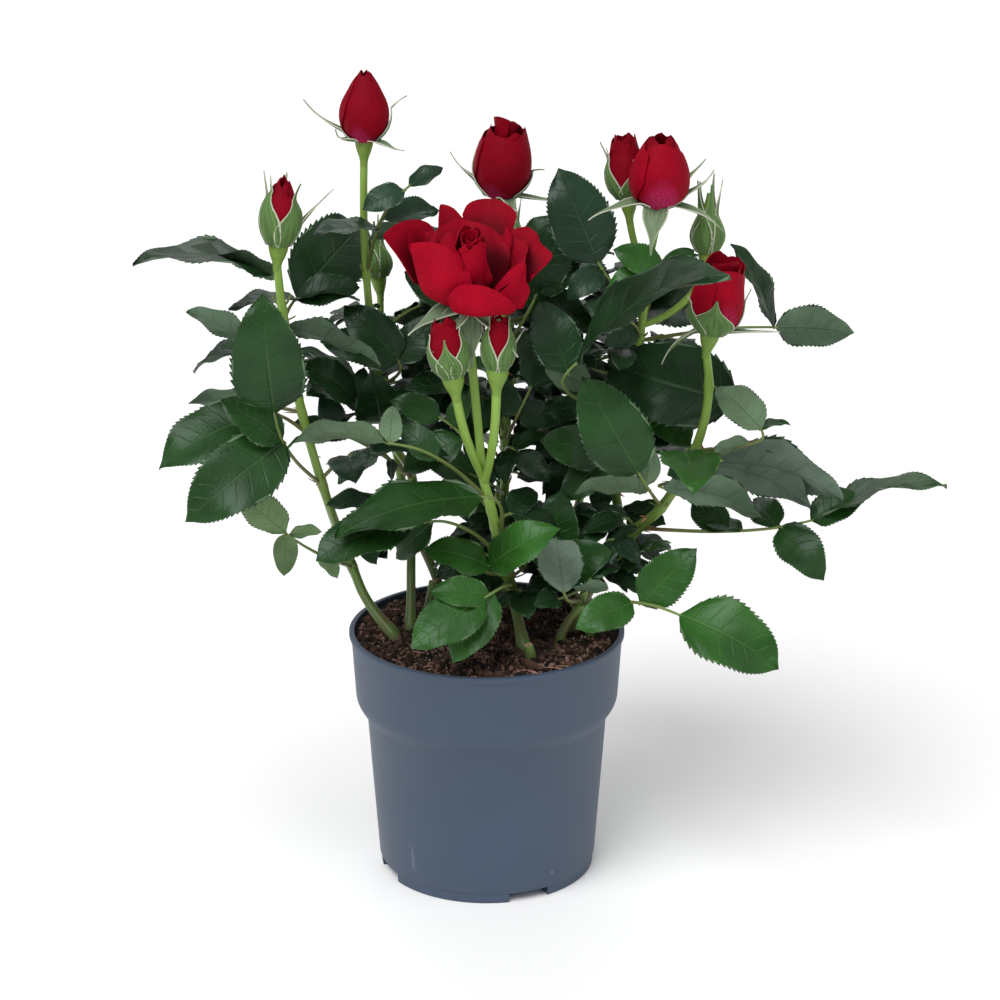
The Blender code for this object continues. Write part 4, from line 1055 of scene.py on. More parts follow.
def tubeInto(pile, points, radii, sides, slot=0, lumps=0.0, rise=(0.0, 1.0), cap=True):
    verts = []
    uvs = []
    shares = steps(len(points))
    for i, (point, aims) in enumerate(zip(points, ringAims(points, sides))):
        for k, (turn, aim) in enumerate(zip(turnsOf(sides), aims)):
            radius = radii[i]
            if lumps:
                spot = Vector((cos(turn) * 1.6, sin(turn) * 1.6, i * 0.22 + point.x * 0.1))
                radius *= 1 + lumps * noise.noise(spot) + bark["ridge"] * cos(5 * turn + i * 0.05)
            verts.append(point + aim * radius)
            uvs.append((k / sides, blend(*rise, shares[i])))
    pile.add(verts, ringFaces(len(points), sides, cap), slot, uvs)


def barkMaterial(name, colours, flushShare):
    low, high, flush = colours
    skin = Skin(name, high, 0.42, {"Specular IOR Level": 0.45})
    rise = skin.axis(skin.uv, "Y")
    green = skin.mix(skin.span(rise, 0.1, 0.9), low, high)
    streak = skin.span(skin.noise(55, 3, (1, 1, 0.35)), 0.48, 0.72)
    streak = skin.times(streak, skin.span(rise, 0.75, 0.0, 0.05, flushShare))
    skin.paint(streak, green, flush)
    return skin.bump(skin.noise(420, 3, (1, 1, 0.3)), 0.25, 0.0003)


def fineLine(points, step):  # the same line in short even steps
    length = sum((b - a).length for a, b in zip(points, points[1:]))
    count = max(4, int(length / step))
    return [spline(points, t) for t in steps(count + 1)]


def buildLimbs(grown, stems):
    pile = Pile()
    stubs = Pile()
    stations = {name: [] for name in shoots}
    for name, _, line, _ in grown:
        stations[name].append(line[0])
    for name, shoot in shoots.items():
        canePoints, caneRadii = caneLine(canes[shoot.cane])
        points = canePoints[:-1] + [canePoints[-1].lerp(stems[name][0], 0.5)] + stems[name][1:]
        radii = caneRadii[:-1] + [blend(*shoot.radii, t) for t in steps(len(stems[name]))]
        line = fineLine(points, bark["ringStep"])
        fine = []
        for point, t in zip(line, steps(len(line))):
            radius = spline(radii, t)
            near = min([(point - joint).length for joint in stations[name]] + [inf])
            fine.append(radius * (1 + bark["joint"] * exp(-(near / bark["jointLength"]) ** 2)))
        line[0] = line[0] - upward * bark["sink"]
        tubeInto(pile, line, fine, bark["sides"], lumps=bark["lump"])
        for flower in shoot.flowers:
            stalk = stalkLine(flower, stems[name])
            if stalk:
                stalk = fineLine(stalk, bark["ringStep"])
                taper = [blend(*bark["stalkTaper"], i / len(stalk)) for i in range(len(stalk))]
                tubeInto(pile, stalk, [shoot.radii[1] * share for share in taper], bark["sides"],
                         lumps=bark["stalkLump"], rise=bark["stalkRise"])
    for name, cane in canes.items():
        if name.startswith("stub"):
            points, radii = caneLine(cane)
            line = fineLine(points, bark["ringStep"])
            line[0] = line[0] - upward * bark["sink"]
            fine = [spline(radii, t) for t in steps(len(line))]
            tubeInto(stubs, line, fine, bark["sides"], lumps=bark["lump"], rise=bark["stubRise"])
            aim = tangents(line)[-1]
            disc = [line[-1] + aim * height for height, _ in bark["disc"]]
            tubeInto(stubs, disc, [fine[-1] * share for _, share in bark["disc"]], bark["sides"], slot=1)
    green = barkMaterial("cane_green", (bark["low"], bark["high"], bark["flush"]), bark["flushShare"])
    cut = simpleMaterial("cut_pith", bark["pith"], bark["cut"], 900, 0.8)
    whole = [name for name in canes if name.startswith("cane")]
    buildPiece("canes_and_stems", pile, [green], whole + list(shoots))
    buildPiece("cut_stubs", stubs, [green, cut], [name for name in canes if name not in whole])


# Prickles, set on the lower limbs by a tree: small cones that lean down the cane

prickle = {"count": 5200.0, "length": 0.0029, "radius": 0.00062, "droop": 0.55, "seed": 4,
           "colour": (0.30, 0.060, 0.035), "tip": (0.45, 0.22, 0.10)}
prickleGround = {"stemRings": 6, "sides": 6}


def buildPrickles():
    ground = Pile()
    for shoot in shoots.values():
        canePoints, caneRadii = caneLine(canes[shoot.cane])
        points, radii = shootLine(shoot)
        rings = prickleGround["stemRings"]
        for line, widths in ((canePoints[1:], caneRadii[1:]), (points[:rings], radii[:rings])):
            tubeInto(ground, line, widths, prickleGround["sides"], cap=False)
    mesh = newMesh("prickle_ground", ground.verts, ground.faces)
    tree, given, points = newTree("rose_prickles", prickle)
    values = {0: given["droop"], 1: -1.0}
    down = addNode(tree, "ShaderNodeMath", values, operation="MULTIPLY").outputs[0]
    down = addNode(tree, "ShaderNodeCombineXYZ", {"Z": down}).outputs[0]
    aim = addNode(tree, "ShaderNodeVectorMath", {0: points["Normal"], 1: down}, operation="ADD").outputs[0]
    turn = addNode(tree, "FunctionNodeAlignRotationToVector", {"Vector": aim}, axis="Z").outputs[0]
    values = {"Vertices": 7, "Side Segments": 3, "Radius Top": 0.0, "Radius Bottom": given["radius"],
              "Depth": given["length"]}
    cone = addNode(tree, "GeometryNodeMeshCone", values).outputs["Mesh"]
    scale = addRandom(tree, 0.45, 1.1, given["seed"])
    material = simpleMaterial("prickle_red", prickle["colour"], prickle["tip"], 300, 0.4)
    endTree(tree, points, cone, turn, scale, material)
    growPiece("prickles", mesh, tree, prickle)


# Leaves: serrated leaflets on thin stalks, each spray in one plain tone, dark above and pale beneath

leafLook = {
    "width": 0.62, "widths": (0.93, 1.06), "rows": 8, "teeth": 3, "slant": 0.19, "tooth": 0.085,
    "halfColumn": 0.50, "rimColumn": 0.86,
    "thickness": 0.26, "tipDrop": 0.07,
    "fold": (4, 24), "curl": (8, 46), "twist": 20, "wave": 0.11, "quilt": 0.06,
    "outline": [0.0, 0.56, 0.83, 0.96, 1.0, 0.99, 0.92, 0.81, 0.64, 0.39, 0.0],
    "tones": {
        "dark": {"upper": (0.0060, 0.0260, 0.0060), "under": (0.095, 0.155, 0.095),
                 "vein": (0.038, 0.085, 0.024)},
        "mid": {"upper": (0.0105, 0.0440, 0.0068), "under": (0.110, 0.175, 0.098),
                "vein": (0.055, 0.120, 0.030)},
        "fresh": {"upper": (0.0190, 0.0820, 0.0085), "under": (0.120, 0.195, 0.085),
                  "vein": (0.080, 0.170, 0.036)},
        "grey": {"upper": (0.0095, 0.0300, 0.0130), "under": (0.115, 0.165, 0.120),
                 "vein": (0.048, 0.085, 0.040)},
    },
    "shares": (("dark", 0.52), ("mid", 0.28), ("grey", 0.12), ("fresh", 0.08)),
    "seed": 27,
}


def leafletShape(blade, look, dice):
    base, along, up, length = blade
    rows = leafLook["rows"]
    teeth = leafLook["teeth"]
    side = along.cross(up)
    widest = length * look["width"] / 2
    arch = length * 0.5 * sin(look["curl"] / 4)
    phases = [dice.uniform(0, 2 * pi), dice.uniform(0, 2 * pi)]
    verts = []
    uvs = []

    def spot(s, v, lift):  # the place at s along and v across, -1 to 1, raised by lift
        u = s + leafLook["slant"] * abs(v) * sin(pi * s)
        out = widest * spline(leafLook["outline"], u)
        bend = look["curl"] * (0.5 - u)
        middle = base + along * (u * length) + up * (arch * sin(pi * u))
        middle = middle - up * (leafLook["tipDrop"] * length * u ** 5)
        tangent = swung(along, up, bend)
        normal = up * cos(bend) - along * sin(bend)
        turn = look["twist"] * (u - 0.25)
        across = swung(side, normal, turn)
        normal = across.cross(tangent).normalized()
        rise = abs(v) * out * tan(look["fold"]) * (1 - 0.45 * abs(v))
        rise += sin(2 * pi * 2.1 * u + phases[v > 0]) * leafLook["wave"] * widest * v * v
        return middle + across * (v * out) + normal * (rise + lift)

    def point(s, v, lift=0.0):
        verts.append(spot(s, v, lift))
        uvs.append((s, (v + 1) / 2))
        return len(verts) - 1

    first = point(0, 0)
    last = point(1, 0)
    thick = leafLook["thickness"] / 2
    quilt = leafLook["quilt"] * widest

    def row(v, lift, swing=0.0):  # points from base to tip, with the ridges between the side veins
        inner = [point(i / rows, v, lift + (swing if i % 2 else -swing * 0.4)) for i in range(1, rows)]
        return [first] + inner + [last]

    tops = row(0, thick * 0.2)
    lows = row(0, -thick * 2.6)
    faces = []
    slots = []
    for hand in (-1, 1):
        halves = row(hand * leafLook["halfColumn"], thick * 1.6, quilt)
        beneath = row(hand * leafLook["halfColumn"], -thick * 1.6, quilt)
        upper = row(hand * leafLook["rimColumn"], thick * 0.6)
        lower = row(hand * leafLook["rimColumn"], -thick * 0.6)
        rim = [first]
        for i in range(rows * teeth):
            rim.append(point((i + 0.78) / (rows * teeth), hand))
            if i < rows * teeth - 1:
                rim.append(point((i + 1) / (rows * teeth), hand * (1 - leafLook["tooth"])))
        rim.append(last)
        for i in range(rows):
            edge = rim[2 * teeth * i:2 * teeth * (i + 1) + 1]
            shapes = [(0, [tops[i], tops[i + 1], halves[i + 1], halves[i]]),
                      (0, [halves[i], halves[i + 1], upper[i + 1], upper[i]]),
                      (0, [upper[i], upper[i + 1]] + edge[::-1]),
                      (1, [lows[i], lows[i + 1], beneath[i + 1], beneath[i]]),
                      (1, [beneath[i], beneath[i + 1], lower[i + 1], lower[i]]),
                      (1, [lower[i], lower[i + 1]] + edge[::-1])]
            for layer, corners in shapes:
                corners = list(dict.fromkeys(corners))
                if len(corners) > 2:
                    turned = (hand > 0) == (layer == 0)
                    faces.append(corners[:1] + corners[:0:-1] if turned else corners)
                    slots.append(layer)
    return verts, faces, slots, uvs


def leafMaterial(name, colour, vein, roughness, veinShare, raised, sockets):
    skin = Skin(name, colour, roughness, sockets)
    uv = addNode(skin.tree, "ShaderNodeSeparateXYZ", {"Vector": skin.uv}).outputs
    across = skin.times(skin.fromMiddle(uv["Y"]), 2.0)
    beat = skin.math("PINGPONG", skin.times(uv["X"], leafLook["rows"]), 0.5)
    sideVein = skin.times(skin.span(beat, 0.07, 0.015), skin.span(across, 0.95, 0.2))
    midVein = skin.span(across, 0.060, 0.015)
    veins = skin.math("MAXIMUM", skin.times(sideVein, 0.6), midVein)
    cloud = skin.span(skin.noise(45, 3), 0.3, 0.7)
    plain = skin.mix(cloud, shade(colour, 0.74), shade(colour, 1.35))
    skin.paint(skin.times(veins, veinShare), plain, vein)
    mesh = skin.noise(900, 3)
    height = skin.math("ADD", skin.times(veins, raised), skin.times(mesh, 0.35))
    return skin.bump(height, 0.6, 0.0005)


def pickTone(dice, shares):
    draw = dice.random()
    for tone, share in shares:
        draw -= share
        if draw < 0:
            return tone
    return "dark"


stalkLook = {
    "step": 2.4, "sides": 5, "radii": (0.85, 0.45), "into": 1.2,
    "pairs": ((-0.4, 0.42), (0.8, 0.38), (2.0, 0.3)),
    "pairSides": 4, "colours": ((0.12, 0.15, 0.04), (0.16, 0.23, 0.06), (0.16, 0.05, 0.03)),
    "flushShare": 0.9,
    "stipule": 6.5, "stipuleWidth": 1.1, "stipuleRows": (0.0, 0.35, 0.7, 1.0), "stipuleThickness": 0.22,
}


def addStipules(pile, fine):  # two small wings at the stalk's foot
    for hand in (-1, 1):
        aim = (fine[2] - fine[0]).normalized()
        out = squareTo(aim.cross(upward), aim) * hand
        away = (aim * 0.8 + out * 0.45).normalized()
        grid = []
        for r in stalkLook["stipuleRows"]:
            middle = fine[0] + away * (stalkLook["stipule"] * r)
            wing = sin(pi * (r * 0.8 + 0.15))
            grid.append([middle + out * (0.3 + c * stalkLook["stipuleWidth"] * wing)
                         for c in ((0, 1) if hand < 0 else (1, 0))])
        verts, faces, _, uvs = shellShape(grid, stalkLook["stipuleThickness"])
        pile.add(verts, faces, 0, uvs)


def buildLeaves(grown):
    dice = random.Random(leafLook["seed"])
    piles = {tone: Pile() for tone in leafLook["tones"]}
    stalks = Pile()
    for _, leaf, line, blades in grown:
        tone = leaf.tint or pickTone(dice, leafLook["shares"])
        fine = fineLine(line, stalkLook["step"])
        fine[-1] = blades[0][0] + blades[0][1] * stalkLook["into"]
        radii = [blend(*stalkLook["radii"], t) for t in steps(len(fine))]
        tubeInto(stalks, fine, radii, stalkLook["sides"])
        for base, along, _, _ in blades[1:]:
            joint = [base + along * reach for reach, _ in stalkLook["pairs"]]
            tubeInto(stalks, joint, [radius for _, radius in stalkLook["pairs"]], stalkLook["pairSides"])
        addStipules(stalks, fine)
        for blade in blades:
            look = {"width": leafLook["width"] * dice.uniform(*leafLook["widths"])}
            look["twist"] = radians(dice.uniform(-leafLook["twist"], leafLook["twist"]))
            look["fold"] = radians(dice.uniform(*leafLook["fold"]))
            look["curl"] = radians(dice.uniform(*leafLook["curl"]))
            piles[tone].add(*leafletShape(blade, look, dice))
    for tone, colours in leafLook["tones"].items():
        upper = leafMaterial("leaf_upper_" + tone, colours["upper"], colours["vein"], 0.34, 0.36, -1.0,
                             {"Specular IOR Level": 0.30, "Specular Tint": (0.86, 1.0, 0.94, 1.0)})
        under = leafMaterial("leaf_under_" + tone, colours["under"], colours["vein"], 0.6, 0.35, 1.0,
                             {"Specular IOR Level": 0.2})
        buildPiece("leaflets_" + tone, piles[tone], [upper, under], list(shoots), sharpAngle=70)
    green = barkMaterial("leaf_stalk_green", stalkLook["colours"], stalkLook["flushShare"])
    buildPiece("leaf_stalks", stalks, [green], list(shoots))


# Flowers: a smooth hip, five long sepals, and petals wound round each other

flowerLook = {
    "petalThickness": 0.30, "sepalThickness": 0.40, "seed": 61, "petalGap": 0.45, "seat": 7.4,
    "sepalSeat": 8.2,
    "green": {"height": 0.86, "width": 0.88, "body": [0.62, 0.92, 1.0, 0.86, 0.60, 0.36, 0.18, 0.08],
              "core": (0, 0.2, 0.4, 0.6, 0.8, 0.97), "sepalWidth": 8.8},
    "hipSides": 20,
    "red": (0.40, 0.0005, 0.0155), "deep": (0.085, 0.0003, 0.0050), "claw": (0.50, 0.035, 0.14),
    "hipLow": (0.190, 0.310, 0.048), "hipHigh": (0.115, 0.225, 0.040),
    "sepalOuter": (0.092, 0.175, 0.048), "sepalInner": (0.150, 0.215, 0.120), "sepalEdge": (0.50, 0.52, 0.40),
    "hip": ((-2.0, 0.92), (-0.5, 1.0), (1.2, 1.25), (3.2, 1.80), (5.4, 2.25), (7.0, 2.4), (8.2, 2.3),
            (8.7, 1.8)),
    "sepal": [0.80, 0.98, 1.0, 0.93, 0.76, 0.52, 0.30, 0.16, 0.09, 0.05],
    "openPetal": [0.20, 0.46, 0.72, 0.90, 1.0, 1.0, 0.94, 0.80],
}

# A flower's body is its width at even steps of its height. Sepals are (turn from the front, opening, curl,
# length, width), wraps (turn, half angle, reach, flare), and a scroll (foot, top, width, slant and the
# slant's turn). A flushed flower has a pale streak on its outer petals.
egg = [0.58, 0.84, 0.98, 1.0, 0.90, 0.68, 0.42, 0.14]
crown = [0.52, 0.86, 0.99, 1.0, 0.93, 0.78, 0.58, 0.34]
snout = [0.54, 0.84, 0.98, 1.0, 0.90, 0.70, 0.48, 0.20]
goblet = [0.50, 0.84, 0.98, 1.0, 0.95, 0.85, 0.74, 0.66]
tulip = [0.52, 0.84, 0.98, 1.0, 0.94, 0.82, 0.66, 0.50]
cup = [0.52, 0.84, 0.98, 1.0, 0.92, 0.76, 0.60, 0.46]
budLooks = {
    "shoot_left_0": {
        "height": 24.5, "width": 13.6, "body": egg,
        "sepals": [(-60, 2, 4, 25, 9.2), (56, 4, 12, 24, 8.4), (-100, 8, 2, 26, 5.0), (98, 30, 8, 26, 4.6),
                   (176, 8, 4, 25, 8.0)],
        "wraps": [(0, 84, 0.76, 0.2), (118, 80, 0.92, 0.5), (236, 80, 0.86, 0.3)]},
    "shoot_tall_left_0": {
        "height": 24.6, "width": 17.6, "body": snout,
        "sepals": [(-88, 64, -16, 24, 4.6), (90, 24, 20, 21, 4.2), (-52, 94, -50, 12, 4.6),
                   (48, 98, -6, 17, 5.0),
                   (180, 62, -12, 20, 5.0)],
        "wraps": [(-14, 86, 0.93, 0.1), (108, 84, 0.96, 0.1), (228, 84, 0.99, 0.1)]},
    "shoot_centre_1": {
        "height": 21.5, "width": 13.4, "body": cup,
        "sepals": [(-4, 2, -4, 15, 5.2), (64, 6, 4, 18, 9.0), (-74, 6, 2, 17, 8.6), (136, 6, 4, 19, 8.0),
                   (-146, 6, 4, 19, 8.0)],
        "wraps": [(-26, 84, 0.94, 0.4), (92, 80, 0.90, 0.4), (214, 80, 0.92, 0.4)]},
    "shoot_centre_2": {
        "height": 19.5, "width": 11.0, "body": cup,
        "sepals": [(-62, 2, 0, 20, 8.0), (62, 2, 0, 20, 8.0), (110, 14, 14, 16, 6.0), (-116, 8, 4, 18, 7.0),
                   (180, 4, 0, 19, 8.0)],
        "wraps": [(0, 84, 0.92, 0.3), (120, 80, 0.88, 0.4), (238, 80, 0.90, 0.4)]},
    "shoot_right_0": {
        "height": 27.0, "width": 18.8, "body": goblet, "scroll": (0.55, 0.97, 0.50, 0.05, 60),
        "flushed": True,
        "sepals": [(-6, 4, 6, 14, 7.6), (-66, 30, 8, 16, 6.0), (-104, 128, 24, 20, 7.2),
                   (96, 34, -14, 20, 5.0),
                   (76, 74, 2, 22, 5.6)],
        "wraps": [(24, 88, 0.90, 0.9), (142, 84, 1.0, 1.0), (262, 84, 0.86, 0.5)]},
    "shoot_right_back_0": {
        "height": 25.6, "width": 21.2, "body": crown, "scroll": None, "flushed": True,
        "sepals": [(-10, 122, 26, 20, 9.4), (-76, 88, 22, 24, 8.4), (72, 94, 24, 24, 7.0),
                   (96, 70, -26, 22, 6.0),
                   (128, 58, -4, 24, 6.4)],
        "wraps": [(6, 88, 0.91, 0.1), (124, 86, 0.96, 0.5), (242, 86, 0.94, 0.5)]},
    "shoot_right_back_1": {
        "height": 23.5, "width": 14.5, "body": cup,
        "sepals": [(-66, 12, 2, 20, 6.0), (-124, 18, 4, 22, 6.0), (20, 14, 6, 16, 6.0),
                   (104, 30, 10, 20, 6.0),
                   (180, 20, 10, 20, 6.0)],
        "wraps": [(-30, 84, 0.92, 0.7), (90, 80, 0.97, 0.7), (212, 80, 0.95, 0.6)]},
    "shoot_centre_back_0": {
        "height": 29.5, "width": 20.8, "body": tulip, "scroll": (0.50, 0.97, 0.52, 0.05, -40),
        "sepals": [(-84, 58, -14, 23, 5.4), (-112, 14, 0, 20, 5.6), (82, 92, -12, 28, 5.2),
                   (104, 26, 40, 18, 8.0),
                   (24, 100, 0, 13, 5.6)],
        "wraps": [(-24, 88, 0.78, 0.1), (96, 84, 0.86, 0.2), (214, 84, 0.82, 0.1)]},
}

Petal = namedtuple("Petal", "turn opening bend roll length width cup ruffle")
bloomLook = {
    "petals": [
        Petal(-128, 50, 4, 24, 31, 29, 16, 0.8),
        Petal(128, 48, 4, 24, 30, 29, 17, 0.9),
        Petal(-172, 40, 2, 26, 31, 34, 18, 0.8),
    ],
    "height": 31.0, "width": 11.6, "body": [0.40, 0.66, 0.86, 0.97, 1.0, 0.94, 0.84, 0.74], "flushed": True,
    "wraps": [(40, 70, 0.92, 0.3), (-80, 60, 0.84, 0.5), (150, 74, 0.96, 0.4)],
    "scroll": (0.40, 0.98, 0.66, 0.07, 150),
    "sepals": [(-64, 92, 24, 21, 9.0), (-36, 108, 16, 19, 9.4), (8, 146, 14, 20, 8.6), (48, 106, 16, 23, 7.6),
               (160, 96, 10, 22, 8.0)],
}

# The bloom's front petals are nets of listed points, (right, up, near) from its seat, along axes tipped
# with the bloom. Each has a wave's size, a foot, a middle row from one side to the other, and a rim. A rim
# that runs from left to right shows the petal's outer side.
netForm = {
    "tip": radians(12.6), "rows": 18, "columns": 23, "footShare": 0.12, "waves": (9, 25),
    "fineWave": 0.35,
    "waveStart": 0.3, "liftStart": 0.7, "lift": 0.5,
}
bloomNets = [
    (0.5, (3, 2, -3), [(14, 20, -7), (7, 21, -11), (-1, 24, -9)],
     [(14, 29.2, -8), (17.2, 32.4, -10), (14.8, 35.8, -13), (10.8, 37.8, -15), (5.2, 38.8, -16),
      (-0.4, 37, -14), (-2.2, 33, -12)]),
    (0.2, (0, 2, -2), [(1, 18, -8), (-5, 20, -10), (-10, 17, -7)],
     [(1.2, 28, -9), (-1.6, 31, -10), (-5.3, 35.2, -12), (-9.4, 36.6, -13), (-10.6, 34.5, -12),
      (-11, 24, -9)]),
    (0.3, (-1, 2, 0), [(-10, 17, -5), (-16, 16, -3), (-17, 8, 3)],
     [(-11.3, 26, -6), (-14.1, 29.7, -6), (-18.9, 31, -4), (-24.5, 29.8, -1), (-29.4, 26.4, 2),
      (-29.2, 24, 3),
      (-24.5, 17.8, 5), (-19, 9, 6)]),
    (0.2, (-3, 1, 0), [(-13, 17, 0), (-15, 17, -2), (-16, 16, 0)],
     [(-14.6, 23, 1), (-15.8, 27, 1), (-18, 28.6, 1), (-20.6, 26.4, 2), (-20.5, 22, 3)]),
    (0.2, (-3, -1, 3), [(-15, 5, 9), (-8, 7, 15), (0, 4, 12)],
     [(-18.6, 14, 7), (-20, 21.4, 9), (-18.6, 22.8, 10), (-13, 23, 13), (-8.5, 22, 14.5), (-3.6, 18.4, 15),
      (0.4, 12.6, 14), (1.4, 7, 13)]),
    (0.3, (1, -2, 4), [(-5, -1, 13), (5, -2, 17), (13, -2, 13)],
     [(-7, 3.5, 17), (-4.4, 7.2, 18), (0, 8.7, 18), (6.8, 7.7, 18), (12.4, 4.6, 17), (16.6, 0.8, 15),
      (16, -1, 14)]),
    (0.2, (4, -1, 3), [(9, 2, 10), (14, 3, 11), (18, 0, 8)],
     [(9.4, 7.5, 12), (14.6, 13.4, 12), (18.8, 16, 13), (20.2, 15, 13), (20.2, 10, 12), (21.6, 6, 11),
      (19, 0.5, 9)]),
    (0.7, (3, 1, -1), [(20, 8, 5), (18, 14, 0), (13, 16, -5)],
     [(22, 11.5, 5), (27, 14.8, 3), (29.8, 18.2, 1), (27.4, 21, -1), (24.9, 23, -2), (24.2, 26.4, -4),
      (20.4, 28.8, -6),
      (15.4, 28, -8)]),
    (0.2, (-1, 3, 1), [(-9, 13, 4), (-6, 12, 6), (-2, 12, 6)],
     [(-10, 20, 4), (-9.4, 24.6, 3), (-6.3, 26.6, 3), (-4.6, 24.4, 5), (-4, 20, 7), (-2, 16, 7)]),
    (0.2, (-1, 3, 1), [(-6, 14, 5), (-3, 14, 7), (1, 13, 7)],
     [(-5, 22, 4), (-3.6, 26.4, 4), (-0.6, 27.2, 5), (0.8, 23.4, 6.5), (1.6, 19, 7)]),
    (0.2, (2, 3, 2), [(-2, 10, 7), (3, 9, 9), (8, 9, 6.5)],
     [(-2.6, 15, 7), (-1.2, 20, 7), (1.4, 21.8, 7), (4.4, 20.4, 7), (6.6, 16, 7), (8.2, 11.5, 6.5)]),
    (0.3, (3, 2, -1), [(10, 12, 0), (13, 11, -1), (13, 9, 3)],
     [(13.2, 29, -6), (15.2, 25, -3), (14.6, 20, 0), (15.4, 15, 3), (13, 10, 6)]),
]


def addNetPetal(pile, seat, net, dice):
    wave, foot, middle, rim = net
    right = Vector((1, 0, 0))
    near = Vector((0, -cos(netForm["tip"]), sin(netForm["tip"])))
    rise = Vector((0, sin(netForm["tip"]), cos(netForm["tip"])))
    phase = dice.uniform(0, 6)
    places = [[seat + right * x + rise * z + near * y for x, z, y in row] for row in ((foot,), middle, rim)]
    start = places[0][0]
    low = [start + (point - start) * netForm["footShare"] for point in places[1]]
    broad, fine = netForm["waves"]

    def place(v, u):
        line = [spline(low, u), spline(places[1], u), spline(places[2], u)]
        ripple = sin(broad * u + phase) + netForm["fineWave"] * sin(fine * u + phase * 2)
        lift = (line[2] - line[1]).normalized()
        raised = lift * (wave * netForm["lift"] * ripple * ease(netForm["liftStart"], 1, v))
        return spline(line, v) + near * (wave * ripple * ease(netForm["waveStart"], 1, v)) + raised

    pile.add(*petalShape(sheet(netForm["rows"], netForm["columns"], place)))


def flowerAxes(flower):
    axis = Vector((*flower.lean, 1)).normalized()
    out = squareTo(Vector((0, -1, 0)), axis)
    return axis, out, axis.cross(out)


def aimAt(axes, turn):
    return swung(*axes[1:], radians(turn))


def lathe(axes, seat, profile, sides):  # a closed turned body from height and radius pairs
    verts = []
    uvs = []
    for (height, radius), t in zip(profile, steps(len(profile))):
        for k in range(sides):
            verts.append(seat + axes[0] * height + aimAt(axes, 360 * k / sides) * radius)
            uvs.append((k / sides, t))
    return verts, ringFaces(len(profile), sides), 0, uvs


def pushOut(point, axes, seat, look):  # a point moved outwards until it clears the bud's petals
    offset = point - seat
    height = offset.dot(axes[0])
    share = height / look["height"]
    if share < 0 or share > 1:
        return point
    flat = offset - axes[0] * height
    reach = look["width"] / 2 * spline(look["body"], share) * 1.05 + flowerLook["petalGap"]
    return point if flat.length >= reach else seat + axes[0] * height + flat.normalized() * reach


sepalForm = {
    "rows": 15, "columns": 7, "inset": 0.90, "sink": 0.8, "opened": (-0.4, 0.12), "tipCurl": 0.55,
    "trough": 0.38, "ruffle": 0.22, "ruffles": 9,
}


def addSepal(pile, axes, seat, radius, sepal, look, petalSeat):
    turn, opening, curl, length, width = sepal
    outward = aimAt(axes, turn)
    across = aimAt(axes, turn + 90)
    place = seat + outward * (radius * sepalForm["inset"]) - axes[0] * sepalForm["sink"]
    rows = sepalForm["rows"]
    spine = []
    for t in steps(rows):
        bend = curl * (t + max(0, t - sepalForm["tipCurl"]) * 2)
        angle = radians(opening * ease(*sepalForm["opened"], t) + bend)
        spine.append((place, axes[0] * sin(angle) - outward * cos(angle)))
        place = place + swung(axes[0], outward, angle) * (length / (rows - 1))

    def spot(t, side):
        middle, inward = spine[round(t * (rows - 1))]
        c = 2 * side - 1
        reach = c * width / 2 * spline(flowerLook["sepal"], t)
        rise = abs(reach) * sepalForm["trough"]
        rise += sepalForm["ruffle"] * sin(sepalForm["ruffles"] * t + turn) * c * c
        return pushOut(middle + across * reach + inward * rise, axes, petalSeat, look)

    pile.add(*shellShape(sheet(rows, sepalForm["columns"], spot), flowerLook["sepalThickness"]))


petalForm = {
    "wrapRows": 14, "wrapColumns": 19, "ragged": 0.012, "sideDrop": 0.17, "point": 0.03, "winding": 0.045,
    "flareStart": 0.78, "flareWave": 0.4, "innerScale": 0.90, "innerTurn": 58, "innerHalf": 0.9,
    "innerRise": 0.04,
    "scrollRows": 9, "scrollColumns": 64, "scrollTurns": 2.1, "scrollHeart": 0.14, "scrollWave": 0.012,
    "core": (0.0, 0.15, 0.3, 0.5, 0.7, 0.85, 0.95), "coreHeight": 0.88, "coreWidth": 0.38, "coreSides": 16,
    "openPoint": 0.27, "openRows": 17, "openColumns": 19, "openFoot": 1.5, "mostBowl": 1.9,
    "rolledSide": 0.045, "fineRuffle": 0.3,
}


def addWrap(pile, axes, seat, look, wrap, scale, dice):  # a petal wound round a bud
    turn, half, reach, flare = wrap
    columns = petalForm["wrapColumns"]
    phase = dice.uniform(0, 6)
    ragged = [dice.uniform(-petalForm["ragged"], petalForm["ragged"]) for _ in range(columns)]

    def place(v, across):
        u = 2 * across - 1
        top = reach * (1 - petalForm["sideDrop"] * abs(u) ** 2.2) + ragged[round(across * (columns - 1))]
        top += petalForm["point"] * exp(-(u * 5) ** 2)
        share = v * top
        radius = look["width"] / 2 * spline(look["body"], share) * (scale + petalForm["winding"] * u)
        wave = 1 + petalForm["flareWave"] * sin(5 * u + phase)
        radius += flare * ease(petalForm["flareStart"], 1.0, v) * wave
        angle = turn + u * half * min(1.0, 0.55 + 0.9 * v)
        return seat + axes[0] * (share * look["height"]) + aimAt(axes, angle) * radius

    pile.add(*petalShape(sheet(petalForm["wrapRows"], columns, place), look.get("flushed") and scale == 1))


def petalShape(grid, flushed=False):  # slot 2 is the outer side of a petal with a pale streak
    verts, faces, slots, uvs = shellShape(grid, flowerLook["petalThickness"])
    return verts, faces, [2 if flushed and slot == 0 else slot for slot in slots], uvs


